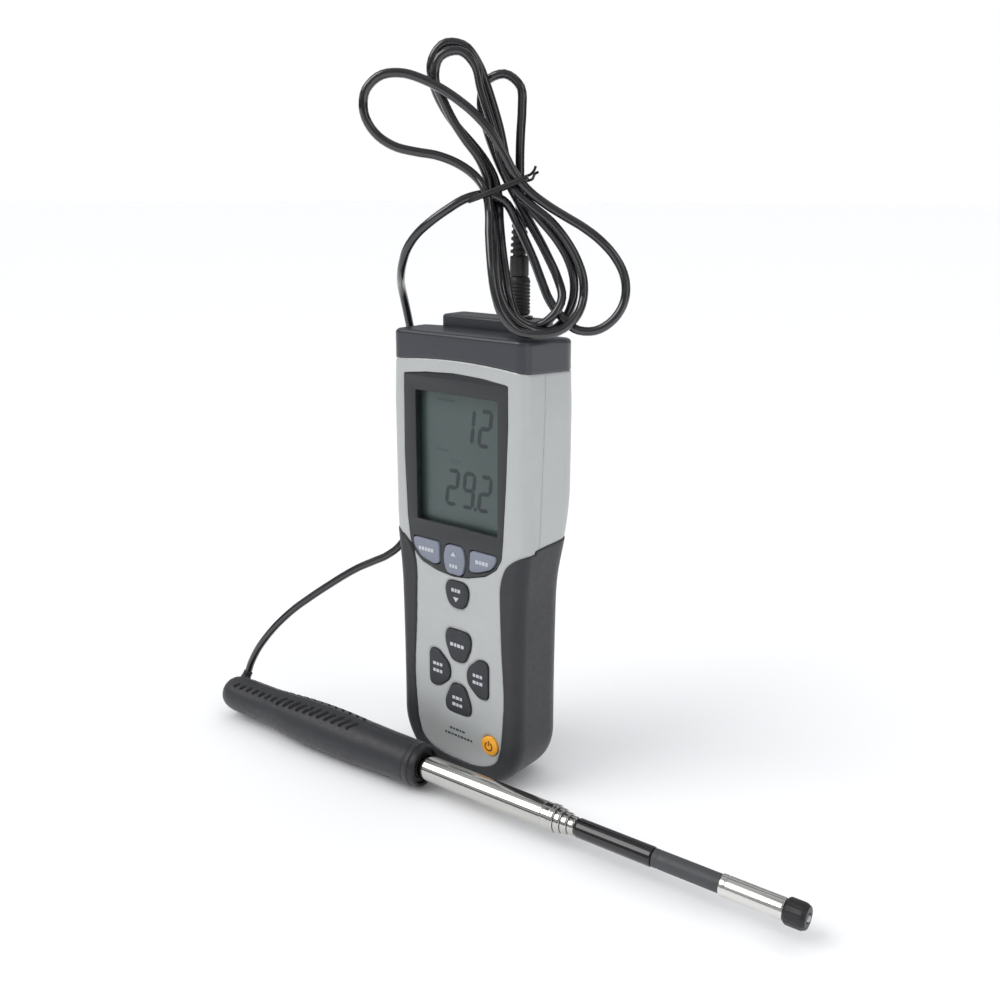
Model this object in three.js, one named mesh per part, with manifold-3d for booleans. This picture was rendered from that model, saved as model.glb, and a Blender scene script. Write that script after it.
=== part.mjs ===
// Hot-wire thermo-anemometer: a hand-held meter that stands on its foot, and a telescopic probe
// that lies in front of it, joined by a cord whose slack is tied in a hank above the meter.
// Units are millimetres. The meter's front faces -Y, +Z is up, and the origin is the centre of the
// meter's foot on the surface that it stands on.
import * as THREE from "three";
import { mergeVertices } from "three/addons/utils/BufferGeometryUtils.js";
import Module from "manifold-3d";

const wasm = await Module();
wasm.setup();

// ---------- driving dimensions ----------
const GAP = 0.3; // clearance between pieces that touch
const HEAD_HALF_W = 38.1; // meter, half width at the head
const GRIP_HALF_W = 35.6; // meter, half width at the grip
const FRONT_Y = -17; // front face
const HEAD_BACK_Y = 22; // back of the head
const GRIP_BACK_Y = 15.8; // back of the grip
const METER_H = 206; // top of the cap
const BLOCK_TOP = 211.2; // top of the socket block
const WALL = 2.4; // shell wall
const RUBBER = 3; // thickness of the rubber grip
const LCD_X0 = -24, LCD_X1 = 22.6, LCD_Z0 = 121, LCD_Z1 = 180; // display opening
const PLUG_X = 13, PLUG_Y = 10; // plug axis, vertical
const PLUG_R = 4.75, PLUG_TOP = 229, RELIEF_TOP = 256.5;
const CORD_D = 3.7;
const PROBE_POS = [-136, -43.8, 11.5]; // rear end of the probe's axis
const PROBE_TURN = 3; // degrees about Z
const HANDLE_L = 133.5;
const TUBE_R = [5.7, 5.025, 4.35, 3.675, 3.0]; // outer radii of the five telescope tubes
const TUBE_WALL = 0.45;
const TUBE_END = [205.5, 208.5, 211.6, 214.7]; // front ends of the rings, along the probe
const TUBE_START = 26;
const STEM_END = 250, GREY_END = 283, SLEEVE_0 = 279, SLEEVE_1 = 304, TIP_END = 312.7;
const SEG = 16; // facets of a round tube

// ---------- solids ----------
function solid(geometry) {
  const g = geometry.clone();
  for (const a of Object.keys(g.attributes)) if (a !== "position") g.deleteAttribute(a);
  g.clearGroups();
  const m = mergeVertices(g, 1e-4);
  const p = m.attributes.position.array;
  let idx = Array.from(m.index.array), v = 0;
  const clean = [];
  for (let i = 0; i < idx.length; i += 3)
    if (idx[i] !== idx[i + 1] && idx[i + 1] !== idx[i + 2] && idx[i] !== idx[i + 2])
      clean.push(idx[i], idx[i + 1], idx[i + 2]);
  idx = clean;
  const A = new THREE.Vector3(), B = new THREE.Vector3(), C = new THREE.Vector3();
  for (let i = 0; i < idx.length; i += 3) {
    A.fromArray(p, idx[i] * 3); B.fromArray(p, idx[i + 1] * 3); C.fromArray(p, idx[i + 2] * 3);
    v += A.dot(B.cross(C)) / 6;
  }
  if (v < 0) for (let i = 0; i < idx.length; i += 3) [idx[i + 1], idx[i + 2]] = [idx[i + 2], idx[i + 1]];
  return new wasm.Manifold(new wasm.Mesh({ numProp: 3, vertProperties: new Float32Array(p), triVerts: new Uint32Array(idx) }));
}
const join = (...s) => s.reduce((a, b) => a.add(b));
const cut = (a, ...s) => s.reduce((x, b) => x.subtract(b), a);
const common = (a, b) => a.intersect(b);

const group = new THREE.Group();
function node(name, s, colour, roughness, metalness = 0, parent = group) {
  const m = s.getMesh(), n = m.numProp;
  const pos = new Float32Array((m.vertProperties.length / n) * 3);
  for (let i = 0; i < pos.length / 3; i++)
    for (let k = 0; k < 3; k++) pos[i * 3 + k] = m.vertProperties[i * n + k];
  const g = new THREE.BufferGeometry()
    .setAttribute("position", new THREE.BufferAttribute(pos, 3))
    .setIndex(new THREE.BufferAttribute(new Uint32Array(m.triVerts), 1));
  g.computeVertexNormals();
  const mesh = new THREE.Mesh(g, new THREE.MeshStandardMaterial({ color: colour, roughness, metalness }));
  mesh.name = name;
  parent.add(mesh);
  return mesh;
}

// ---------- outlines ----------
const V = (x, y) => new THREE.Vector2(x, y);
// closed outline through corner points with every corner rounded
function rounded(pts, r) {
  const s = new THREE.Shape(), n = pts.length;
  for (let i = 0; i < n; i++) {
    const p = V(...pts[i]), a = V(...pts[(i + n - 1) % n]), b = V(...pts[(i + 1) % n]);
    const rr = Array.isArray(r) ? r[i] : r;
    const la = Math.min(rr, a.distanceTo(p) * 0.49), lb = Math.min(rr, b.distanceTo(p) * 0.49);
    const p0 = p.clone().add(a.clone().sub(p).setLength(la)), p1 = p.clone().add(b.clone().sub(p).setLength(lb));
    if (i === 0) s.moveTo(p0.x, p0.y); else s.lineTo(p0.x, p0.y);
    if (rr > 0) s.quadraticCurveTo(p.x, p.y, p1.x, p1.y);
  }
  s.closePath();
  return s;
}
// the corner points moved out by d (convex outlines, any turning sense)
function grown(pts, d) {
  let area = 0;
  const n = pts.length;
  for (let i = 0; i < n; i++) {
    const [x0, y0] = pts[i], [x1, y1] = pts[(i + 1) % n];
    area += x0 * y1 - x1 * y0;
  }
  const sgn = area > 0 ? 1 : -1;
  return pts.map((p, i) => {
    const a = pts[(i + n - 1) % n], b = pts[(i + 1) % n];
    const e0 = V(p[0] - a[0], p[1] - a[1]).normalize(), e1 = V(b[0] - p[0], b[1] - p[1]).normalize();
    const n0 = V(e0.y * sgn, -e0.x * sgn), n1 = V(e1.y * sgn, -e1.x * sgn);
    const k = d / (1 + n0.dot(n1));
    return [p[0] + (n0.x + n1.x) * k, p[1] + (n0.y + n1.y) * k];
  });
}
const rect = (x0, x1, y0, y1) => [[x0, y0], [x1, y0], [x1, y1], [x0, y1]];
const disc = (x, y, r) => { const s = new THREE.Shape(); s.absarc(x, y, r, 0, Math.PI * 2); return s; };

// prisms: the outline is drawn in the plane across the named axis
function prism(axis, shape, t0, t1, curveSegments = 2, steps = 1) {
  const g = new THREE.ExtrudeGeometry(shape, { depth: t1 - t0, bevelEnabled: false, curveSegments, steps });
  if (axis === "z") g.translate(0, 0, t0);
  if (axis === "y") g.rotateX(Math.PI / 2).translate(0, t1, 0); // outline in (x, z)
  if (axis === "x") g.applyMatrix4(new THREE.Matrix4().makeBasis(new THREE.Vector3(0, 1, 0), new THREE.Vector3(0, 0, 1), new THREE.Vector3(1, 0, 0))).translate(t0, 0, 0); // outline in (y, z)
  return g;
}
const P = (...a) => solid(prism(...a));
function box(x0, x1, y0, y1, z0, z1) {
  return solid(new THREE.BoxGeometry(x1 - x0, y1 - y0, z1 - z0).translate((x0 + x1) / 2, (y0 + y1) / 2, (z0 + z1) / 2));
}
function rodY(x, z, r, y0, y1, seg = 12) {
  return solid(new THREE.CylinderGeometry(r, r, y1 - y0, seg).translate(x, (y0 + y1) / 2, z));
}
function rodZ(x, y, r0, r1, z0, z1, seg = 16) {
  return solid(new THREE.CylinderGeometry(r1, r0, z1 - z0, seg).rotateX(Math.PI / 2).translate(x, y, (z0 + z1) / 2));
}

// ---------- the meter's outer form, and the same form set in by d ----------
const lerp = (a, b, t) => a + (b - a) * THREE.MathUtils.clamp(t, 0, 1);
const smooth = (a, b, z) => THREE.MathUtils.smoothstep(z, a, b);
const halfWidth = (z) => lerp(GRIP_HALF_W - 0.5 * Math.sin(Math.PI * THREE.MathUtils.clamp(z / 95, 0, 1)), HEAD_HALF_W, smooth(88, 124, z)) - 0.9 * smooth(172, 198, z);
const backY = (z) => lerp(GRIP_BACK_Y, HEAD_BACK_Y, smooth(96, 140, z));
function body(d) {
  const sec = new THREE.Shape();
  const w = HEAD_HALF_W - d, f = FRONT_Y + d, b = HEAD_BACK_Y - d, rf = Math.max(4.8 - d, 1.2), rb = Math.max(10.5 - d, 1.2);
  sec.moveTo(-w + rf, f); sec.lineTo(w - rf, f);
  sec.absarc(w - rf, f + rf, rf, -Math.PI / 2, 0);
  sec.lineTo(w, b - rb); sec.absarc(w - rb, b - rb, rb, 0, Math.PI / 2);
  sec.lineTo(-w + rb, b); sec.absarc(-w + rb, b - rb, rb, Math.PI / 2, Math.PI);
  sec.lineTo(-w, f + rf); sec.absarc(-w + rf, f + rf, rf, Math.PI, Math.PI * 1.5);
  const zs = [-2, 24, 72, 92, 100, 107, 114, 122, 132, 142, 172, 185, 198, 210];
  const g = prism("z", sec, 0, zs.length - 1, 3, zs.length - 1);
  const p = g.attributes.position;
  for (let i = 0; i < p.count; i++) {
    const z = zs[Math.round(p.getZ(i))], x = p.getX(i), y = p.getY(i);
    const dx = HEAD_HALF_W - halfWidth(z);
    p.setXYZ(i, x > 5 ? x - dx : x < -5 ? x + dx : x, y > 0 ? y - (HEAD_BACK_Y - backY(z)) : y, z);
  }
  const t = METER_H - d, lo = d;
  // front outline: large radii at the foot, small ones at the top
  const out = new THREE.Shape(), R = Math.max(25 - d, 2), W = 40, e = GRIP_HALF_W - d;
  out.moveTo(-e + R, lo); out.lineTo(e - R, lo);
  out.absarc(e - R, lo + R, R, -Math.PI / 2, 0);
  out.lineTo(W, lo + R + 6); out.lineTo(W, t - 1); out.lineTo(w - 2.6, t); out.lineTo(-w + 2.6, t); out.lineTo(-W, t - 1); out.lineTo(-W, lo + R + 6);
  out.lineTo(-e, lo + R); out.absarc(-e + R, lo + R, R, Math.PI, Math.PI * 1.5);
  // side outline: foot rounded at the front and the rear, top falling to the rear
  const g0 = GRIP_BACK_Y - d, side = new THREE.Shape(), rr = Math.max(13 - d, 1.5), rq = Math.max(4 - d, 0.6);
  side.moveTo(f + rq, lo); side.lineTo(g0 - rr, lo); side.absarc(g0 - rr, lo + rr, rr, -Math.PI / 2, 0);
  side.lineTo(g0, 80); side.lineTo(30, 95); side.lineTo(30, t - 8); side.lineTo(b, t - 6.5); side.lineTo(b - 1.2, t - 3.6); side.lineTo(b - 4, t - 2.3); side.lineTo(2, t);
  side.lineTo(f + 1.2, t); side.lineTo(f, t - 1.2); side.lineTo(f, lo + rq); side.absarc(f + rq, lo + rq, rq, Math.PI, Math.PI * 1.5);
  return common(common(solid(g), P("y", out, -30, 40, 4)), P("x", side, -50, 50, 3));
}
const OUTER = body(0), IN_RUBBER = body(RUBBER), IN_SEAT = body(RUBBER + GAP);
const CAV_HEAD = common(body(WALL), box(-50, 50, -40, 40, 119, 220)), CAV_GRIP = body(5.6);

// parting lines
const capUnder = (g) => {
  const s = new THREE.Shape();
  s.moveTo(-60, 230); s.lineTo(-60, 191.4 + g);
  s.lineTo(-38, 192.4 + g); s.quadraticCurveTo(0, 197.2 + g, 38, 192.4 + g);
  s.lineTo(60, 191.4 + g); s.lineTo(60, 230); s.closePath();
  const geo = prism("y", s, -30, 40, 8);
  const m = new THREE.Matrix4().set(1, 0, 0, 0, 0, 1, 0, 0, 0, -0.06, 1, -0.06 * 17, 0, 0, 0, 1);
  return solid(geo.applyMatrix4(m));
};
const CAP_REGION = capUnder(GAP), NOT_CAP = capUnder(0);
const frontHalf = (g) => { // everything ahead of the side seam
  const s = new THREE.Shape([V(-60, -10), V(-6.5 + g, -10), V(-6.5 + g, 118), V(-2.5 + g, 206), V(-2.5 + g, 230), V(-60, 230)]);
  return P("x", s, -60, 60);
};

// rubber grip: below a line that climbs to the rear, outside the front panel and the back panel
function panelOutline(g) {
  const right = new THREE.SplineCurve([V(25.2 - g, 22), V(26.2 - g, 34), V(26.7 - g, 48), V(25.4 - g, 68), V(24.7 - g, 84), V(24.5 - g, 98), V(26.7 - g, 106.4), V(30.2 - g, 110.8), V(35 - g, 114), V(40 - g, 115.6)]).getPoints(14);
  const s = new THREE.Shape();
  s.moveTo(0, 7.4 + g); s.lineTo(9, 7.8 + g);
  s.quadraticCurveTo(20, 9.3 + g, 23.2 - g * 0.6, 15 + g); s.lineTo(right[0].x, right[0].y);
  right.forEach((q) => s.lineTo(q.x, q.y));
  s.lineTo(60, 116); s.lineTo(60, 150); s.lineTo(-60, 150); s.lineTo(-60, 116);
  [...right].reverse().forEach((q) => s.lineTo(-q.x, q.y));
  s.lineTo(-23.2 + g * 0.6, 15 + g); s.quadraticCurveTo(-20, 9.3 + g, -9, 7.8 + g);
  s.closePath();
  return s;
}
function rubberRegion(g) {
  const top = new THREE.Shape([V(-30, -10), V(30, -10), V(30, 117.2 + g), V(8, 116.9 + g), V(-6, 116.4 + g), V(-11, 116 + g), V(-17, 115 + g), V(-30, 112 + g)]);
  const back = rounded(rect(-21 + g, 21 - g, 20 + g, 150), 6);
  return cut(P("x", top, -50, 50), P("y", panelOutline(g), -30, -9.5 - g, 3), P("y", back, 6, 40, 3));
}
node("rubber_grip", cut(common(OUTER, rubberRegion(0)), IN_RUBBER), 0x3a3a3d, 0.75);

// ---------- window, keys ----------
const WINDOW = [[-30.4, 187], [-17, 188.6], [-1, 189.4], [14.5, 188.8], [28.4, 187.2], [28.6, 170], [27.6, 145], [26.2, 121], [25.4, 111.5], [22.6, 106.3], [16.3, 101.8], [6, 98.6], [-2.5, 97.5], [-12, 98.4], [-21, 100.8], [-26.2, 105], [-28.2, 109], [-29.8, 121], [-30.9, 150]];
const LCD = rect(LCD_X0, LCD_X1, LCD_Z0, LCD_Z1);
const KEYS = [ // name, outline, rounding, upper row?
  ["key_soft_left", [[-26.2, 112.2], [-10.6, 112.2], [-10.2, 102.6], [-13.6, 101.4], [-21.2, 103.4], [-25.6, 108]], 1.8, true],
  ["key_soft_middle", [[-6.4, 112.4], [3.4, 112.4], [4.9, 106], [3, 98.9], [-6.2, 98.9], [-8, 106]], 2.6, true],
  ["key_soft_right", [[7.8, 112.2], [22.4, 112.2], [22.2, 109.4], [19.5, 105.8], [12, 102.8], [7.3, 102.4]], 1.8, true],
  ["key_select", [[-5.6, 96], [5.6, 96], [7.2, 91], [4.4, 83.3], [-4, 83.3], [-7, 91]], 4, false],
  ["key_up", [[-6.4, 72.5], [7.4, 72.5], [8.3, 66.5], [4.3, 57.2], [-3.3, 57.2], [-7.3, 66.5]], 3.4, false],
  ["key_left", [[-17, 59.6], [-17, 42.2], [-12, 41.4], [-4.6, 47.4], [-4.6, 54.2], [-11.8, 60.4]], 3.2, false],
  ["key_right", [[18, 61.2], [12.8, 61.8], [5.7, 55.6], [5.7, 48.8], [12.8, 42.6], [18, 43.2]], 3.2, false],
  ["key_down", [[-3.4, 46], [4.2, 46], [8.2, 36.2], [6.9, 31.2], [-6.5, 31.2], [-7.7, 36.2]], 3.4, false],
];
const POWER = [19.0, 21.2, 4.6];
const UP_F = -17.6, UP_FLANGE = -13.1, LOW_F = -18, LOW_FLANGE = -14.3;
for (const [name, pts, r, upper] of KEYS) {
  const c = pts.reduce((a, q) => [a[0] + q[0] / pts.length, a[1] + q[1] / pts.length], [0, 0]);
  let k;
  if (upper) k = join(P("y", rounded(pts, r), UP_F, UP_FLANGE + 0.2), P("y", rounded(grown(pts, 0.8), r), UP_FLANGE, -12.1));
  else k = join(P("y", rounded(pts, r), LOW_F, LOW_FLANGE + 0.2), P("y", rounded(grown(pts, 0.8), r), LOW_FLANGE, -12.9), rodY(c[0], c[1], 2.2, -13, -12.1, 10));
  node(name, k, upper ? 0x7d8291 : 0x3e3f42, 0.6);
}
node("key_power", join(rodY(POWER[0], POWER[1], POWER[2], LOW_F, LOW_FLANGE + 0.2, 16), rodY(POWER[0], POWER[1], POWER[2] + 0.5, LOW_FLANGE, -12.9, 16), rodY(POWER[0], POWER[1], 2.2, -13, -12.1, 10)), 0xf0a832, 0.5);

// bezel: gloss plate let into the window of the front shell, with a flange behind it round the display
let bezel = join(P("y", rounded(grown(WINDOW, -0.3), 1.2), -16.4, -13.4), common(P("y", rounded(grown(WINDOW, 1.6), 1.2), -14.3, -13.4), box(-40, 40, -30, 0, 113, 200)));
bezel = cut(bezel, P("y", rounded(LCD, 1.2), -30, 0));
for (const [, pts, r, upper] of KEYS) if (upper) bezel = cut(bezel, P("y", rounded(grown(pts, 0.35), r), -30, 0));
node("display_bezel", bezel, 0x47494c, 0.12);
node("display_lens", P("y", rounded(grown(LCD, 2), 1), -13.1, -12.1), 0xd8e0e0, 0.05);
node("lcd_glass", P("y", rounded(rect(-25.4, 24.4, 117.5, 183.5), 0), -11.8, -10), 0x55605d, 0.1);
node("lcd_backlight", box(-22, 23, -9.7, -8.5, 121.5, 179.5), 0xe8ecec, 0.6);
node("contact_strip_lower", box(-20, 21, -9.7, -8.5, 118.2, 121.0), 0xc0607a, 0.6);
node("contact_strip_upper", box(-20, 21, -9.7, -8.5, 180.0, 182.8), 0xc0607a, 0.6);

// key mat: one sheet with a dome under each key
let mat = P("y", rounded(rect(-22.6, 22.6, 13, 113.5), 3), -10, -8.5);
for (const [, pts] of KEYS) {
  const c = pts.reduce((a, q) => [a[0] + q[0] / pts.length, a[1] + q[1] / pts.length], [0, 0]);
  mat = join(mat, rodY(c[0], c[1], 3, -10.8, -9.9, 10));
}
mat = join(mat, rodY(POWER[0], POWER[1], 3, -10.8, -9.9, 10));
node("key_mat", mat, 0x6a6e70, 0.8);

// main board with its larger chips and the connector block at its top end
node("main_board", join(box(-26.6, 26.6, -8.2, -6.6, 18, 190),
  box(-9, 9, -6.7, -4.6, 126, 142), box(-20, -12, -6.7, -4.9, 104, 112), box(10, 18, -6.7, -5.1, 108, 114),
  box(6, 16, -6.7, -3.2, 170, 184)), 0x2c6b3c, 0.5);
node("buzzer", rodY(-12, 160, 6, -6.3, -2.3, 20), 0x1c1c1e, 0.5);

// ---------- shells ----------
const BOSS = [[-31, 182], [31, 182], [-31, 128], [31, 128]];
// a boss with a web that ties it to the side wall
const screwBoss = (x, z, y0, y1) => join(rodY(x, z, 3.2, y0, y1, 10), x > 0 ? box(x, 36, y0, y1, z - 1.2, z + 1.2) : box(-36, x, y0, y1, z - 1.2, z + 1.2));
let shell = cut(OUTER, NOT_CAP, cut(rubberRegion(GAP), IN_SEAT));
let hollow = join(CAV_HEAD, CAV_GRIP, common(box(-24.6, 24.6, -14.6, -8, 13, 119.5), OUTER), common(P("y", rounded(grown(WINDOW, 1.9), 1), -14.6, -8), OUTER));
let front = cut(common(shell, frontHalf(0)), hollow);
front = join(front, ...BOSS.map(([x, z]) => common(common(screwBoss(x, z, -12.2, 0), frontHalf(0)), OUTER)));
front = cut(front, P("y", rounded(WINDOW, 1.2), -30, -13));
front = cut(front, ...BOSS.map(([x, z]) => rodY(x, z, 1.25, -11, 0, 10)));
for (const [, pts, r, upper] of KEYS) if (!upper) front = cut(front, P("y", rounded(grown(pts, 0.3), r), -30, -13));
front = cut(front, rodY(POWER[0], POWER[1], POWER[2] + 0.35, -30, -13, 16));
node("front_housing", front, 0xc8cdcd, 0.45, 0.15);

const DOOR = rect(-19.5, 19.5, 25, 93);
let rear = cut(cut(shell, frontHalf(GAP)), hollow);
rear = join(rear, ...BOSS.map(([x, z]) => cut(common(join(screwBoss(x, z, -8, 21), rodY(x, z, 4.3, 12, 21, 12)), OUTER), frontHalf(GAP))));
// seat of the battery door: rim, through opening, and the block that takes its screw
rear = join(rear, common(box(-17.5, 17.5, 6.8, 15.3, 84.2, 98), OUTER));
rear = cut(rear, P("y", rounded(grown(DOOR, GAP), 3), 13.5, 40), box(-16.5, 16.5, -5.2, 40, 28, 84), rodY(0, 88.6, 1.15, 3, 40, 12));
rear = cut(rear, ...BOSS.map(([x, z]) => rodY(x, z, 1.6, -10, 40, 10)), ...BOSS.map(([x, z]) => rodY(x, z, 3.0, 15.9, 40, 12)));
node("rear_housing", rear, 0xc2c7c7, 0.5, 0.1);
BOSS.forEach(([x, z], i) => node("case_screw_" + (i + 1), join(rodY(x, z, 2.6, 16.2, 18.1, 12), rodY(x, z, 0.9, -8, 16.3, 8)), 0x8b8d90, 0.35, 1));
// the case screw heads bear on a shoulder of each boss
let door = P("y", rounded(DOOR, 3), 13.8, 15.8);
door = cut(door, rodY(0, 88.6, 2.9, 14.7, 30, 12), rodY(0, 88.6, 1.7, 8.8, 30, 10));
door = cut(door, ...[34, 37.5, 41].map((z) => box(-9, 9, 15.3, 20, z, z + 1.6)));
node("battery_door", door, 0x4a4b4e, 0.55);
node("battery_door_screw", join(rodY(0, 88.6, 2.5, 15, 16, 12), rodY(0, 88.6, 0.85, 7.4, 15.1, 8)), 0x8b8d90, 0.35, 1);

node("battery", join(box(-13.25, 13.25, -4.5, 13, 29, 75.4), rodZ(-6.35, 4.2, 2.9, 2.9, 75.3, 77.4, 16), rodZ(6.35, 4.2, 3.6, 3.6, 75.3, 77.4, 16)), 0x2d4e7a, 0.4);
node("battery_snap", join(box(-12.5, 12.5, -2.8, 11.2, 77.8, 80.2), rodZ(-6.35, 4.2, 3.4, 3.4, 80.1, 81.6, 16), rodZ(6.35, 4.2, 2.8, 2.8, 80.1, 81.6, 16)), 0x202022, 0.6);

// ---------- cap with the socket block ----------
let cap = common(OUTER, CAP_REGION);
cap = join(cap, common(P("z", rounded(rect(-26, 26, 3, 18.8), 3), 200, BLOCK_TOP), P("y", rounded([[-26, 190], [26, 190], [26, BLOCK_TOP], [-26, BLOCK_TOP]], 1.6), -30, 40)));
cap = cut(cap, common(body(WALL), box(-50, 50, -40, 40, 119, 203.4)), rodZ(PLUG_X, PLUG_Y, 6.3, 6.3, 190, 230));
node("top_cap", cap, 0x4b4e56, 0.45);

const zx = (pts, seg = SEG) => solid(new THREE.LatheGeometry(pts.map((q) => V(...q)), seg).rotateX(Math.PI / 2).translate(PLUG_X, PLUG_Y, 0)); // (radius, height)
node("din_socket", zx([[0, 196], [6, 196], [6, 212.2], [4.4, 212.2], [4.4, 201.2], [3.0, 201.2], [3.0, 207.6], [0, 207.6], [0, 196]]), 0x1d1d1f, 0.5);
let pins = zx([[0, 211.5], [3.4, 211.5], [3.4, 202.2], [4.1, 202.2], [4.1, 212.7], [0, 212.7], [0, 211.5]]);
for (let i = 0; i < 5; i++) {
  const a = ((i * 45 - 180) * Math.PI) / 180;
  pins = join(pins, rodZ(PLUG_X + 2 * Math.cos(a), PLUG_Y + 2 * Math.sin(a), 0.45, 0.45, 208.0, 211.7, 8));
}
node("plug_shell", pins, 0xb9bcc0, 0.25, 1);
node("plug_body", zx([[0, 213], [PLUG_R - 0.4, 213], [PLUG_R, 213.8], [PLUG_R, 226.8], [PLUG_R - 0.5, 228.2], [PLUG_R - 1.1, PLUG_TOP], [0, PLUG_TOP]]), 0x1b1b1d, 0.4);
node("strain_relief", zx([[0, PLUG_TOP + GAP], [4.1, PLUG_TOP + GAP], [4.1, 236], [3.9, 244], [3.6, 252], [3.5, RELIEF_TOP], [0, RELIEF_TOP]]), 0x1b1b1d, 0.5);

// ---------- cord: the hank as its outer form, the tie, and the free run to the probe ----------
const VIEW = 38.9 * Math.PI / 180; // the hank is flat in the plane that holds this direction and Z
const hankFrame = (dv) => new THREE.Matrix4().makeBasis(
  new THREE.Vector3(Math.cos(VIEW), Math.sin(VIEW), 0), new THREE.Vector3(0, 0, 1), new THREE.Vector3(Math.sin(VIEW), -Math.cos(VIEW), 0))
  .setPosition(PLUG_X, PLUG_Y, 0).multiply(new THREE.Matrix4().set(1, 0, 0, 0, 0, 1, 0, 0, 0, dv[0], 1, dv[1], 0, 0, 0, 1));
function lobe(pts, r, w0, w1, shear) { // outline in (u, z), thickness in w, w shifted by shear[0] * z + shear[1]
  const g = new THREE.ExtrudeGeometry(rounded(pts, r), { depth: w1 - w0, bevelEnabled: false, curveSegments: 2 });
  g.translate(0, 0, w0).applyMatrix4(hankFrame(shear));
  return solid(g);
}
const upper = lobe([[-15, 256.8], [4.2, 256.8], [7.6, 264], [1.6, 298], [-1, 309], [-22, 322.3], [-29, 323], [-57, 309], [-62, 300], [-62, 291], [-57, 285], [-20, 264]], 5, -5.5, 15.2, [0, 0]);
const lower = lobe([[-21, 262.5], [-22.6, 257.8], [-11, 222], [-8, 214], [0, 208.4], [9, 207.4], [33, 210], [41, 216.5], [42.2, 228], [38, 239], [24, 252], [8, 262.5]], 5, -6.4, 6.4, [-0.3, 10.8 + 0.3 * 258]);
const TIE = new THREE.Vector3(12.6, 1.9, 265.7), TIE_AX = new THREE.Vector3(0.272, 0.219, -0.937).normalize();
const alongTie = new THREE.Quaternion().setFromUnitVectors(new THREE.Vector3(0, 1, 0), TIE_AX);
const ring = (r0, r1, h) => new THREE.LatheGeometry([V(r0, -h), V(r1, -h), V(r1, h), V(r0, h), V(r0, -h)], SEG).applyQuaternion(alongTie).translate(TIE.x, TIE.y, TIE.z);
node("cord_hank", cut(join(upper, lower), solid(ring(8.6, 40, 1.9))), 0x1c1c1e, 0.35);
function rod(a, b, r, seg = 10) {
  const d = new THREE.Vector3().subVectors(b, a);
  return solid(new THREE.CylinderGeometry(r, r, d.length(), seg).applyQuaternion(new THREE.Quaternion().setFromUnitVectors(new THREE.Vector3(0, 1, 0), d.clone().normalize())).translate((a.x + b.x) / 2, (a.y + b.y) / 2, (a.z + b.z) / 2));
}
const uw = (u, w, z) => new THREE.Vector3(u, z, w).applyMatrix4(hankFrame([0, 0]));
// the ring's twisted ends leave it sideways, in its own plane, and part outside the hank
const tieOut = uw(0.937, 0, 0.349).sub(uw(0, 0, 0)), tieEnd = TIE.clone().addScaledVector(tieOut, 14.4);
node("twist_tie", join(solid(ring(8.9, 10.1, 1.3)), rod(TIE.clone().addScaledVector(tieOut, 9.5), tieEnd, 1.0, 8),
  rod(tieEnd.clone().addScaledVector(tieOut, -0.6), tieEnd.clone().add(uw(2.6, 0, 4.2)).sub(uw(0, 0, 0)), 0.8, 8), rod(tieEnd.clone().addScaledVector(tieOut, -0.6), tieEnd.clone().add(uw(5.0, 0.6, 2.4)).sub(uw(0, 0, 0)), 0.8, 8)), 0x202022, 0.5);

const TAIL = [[-0.2, -14.5, 257], [-5.6, -18.6, 253.6], [-9.2, -20.9, 251.6], [-16.1, -22.1, 246.3], [-22.2, -21.6, 240.1], [-27.5, -19.1, 233.5], [-32.8, -14.6, 228.2], [-38.1, -9, 223.8], [-41.9, -3.7, 218.1], [-43.2, -0.2, 210.2], [-43.1, 1.8, 201.6], [-43.2, 3.5, 193], [-43.6, 5.1, 184.3], [-43.8, 6.5, 175.7], [-43.9, 7.5, 166.9], [-43.9, 8.1, 158.1], [-43.9, 8.2, 149.3], [-44.2, 7.7, 140.6], [-44.5, 6.7, 131.8], [-44.7, 4.9, 123.2], [-44.5, 2.4, 114.8], [-44.8, -0.8, 106.7], [-47.8, -4.2, 99.4], [-53.6, -7.3, 94], [-61, -9.8, 89.9], [-68.3, -12.3, 85.9], [-75.3, -15, 81.2], [-82, -17.6, 76.2], [-88.7, -20.1, 71.1], [-95.3, -22.6, 65.8], [-101.8, -25, 60.4], [-107.9, -27.3, 54.5], [-113.7, -29.5, 48.2], [-119, -31.5, 41.5], [-123.7, -33.5, 34.4], [-127.5, -35.2, 26.7], [-128.9, -35.85, 22.6]];
const tailCurve = new THREE.CatmullRomCurve3(TAIL.map((q) => new THREE.Vector3(...q)));
const octagon = new THREE.Shape(Array.from({ length: 8 }, (_, i) => V((CORD_D / 2) * Math.cos((i * Math.PI) / 4), (CORD_D / 2) * Math.sin((i * Math.PI) / 4))));
node("cord_tail", solid(new THREE.ExtrudeGeometry(octagon, { extrudePath: tailCurve, steps: 42, bevelEnabled: false })), 0x1c1c1e, 0.35);

// ---------- probe, lying in front of the meter; its own frame has X along the axis ----------
const probe = new THREE.Group();
probe.position.set(...PROBE_POS);
probe.rotation.z = THREE.MathUtils.degToRad(PROBE_TURN);
group.add(probe);
const lathe = (pts, seg = SEG) => solid(new THREE.LatheGeometry(pts.map(([s, r]) => V(r, s)), seg).rotateZ(-Math.PI / 2)); // (station, radius)
const ringX = (s0, s1, r0, r1, seg = SEG) => lathe([[s0, r0], [s1, r0], [s1, r1], [s0, r1], [s0, r0]], seg);
const SPLIT = 0.15;
let handle = lathe([[0, 0], [0.3, 3.2], [1.4, 5.9], [3.4, 7.6], [7, 8.7], [14, 9.1], [34, 9.3], [58, 10.8], [74, 11.2], [90, 10.8], [106, 10.25], [131.5, 10.0], [HANDLE_L, 9.5], [HANDLE_L, 8.0], [126.0, 8.0], [126.0, 6.05], [24.5, 6.05], [24.5, 0]], 20);
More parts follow.
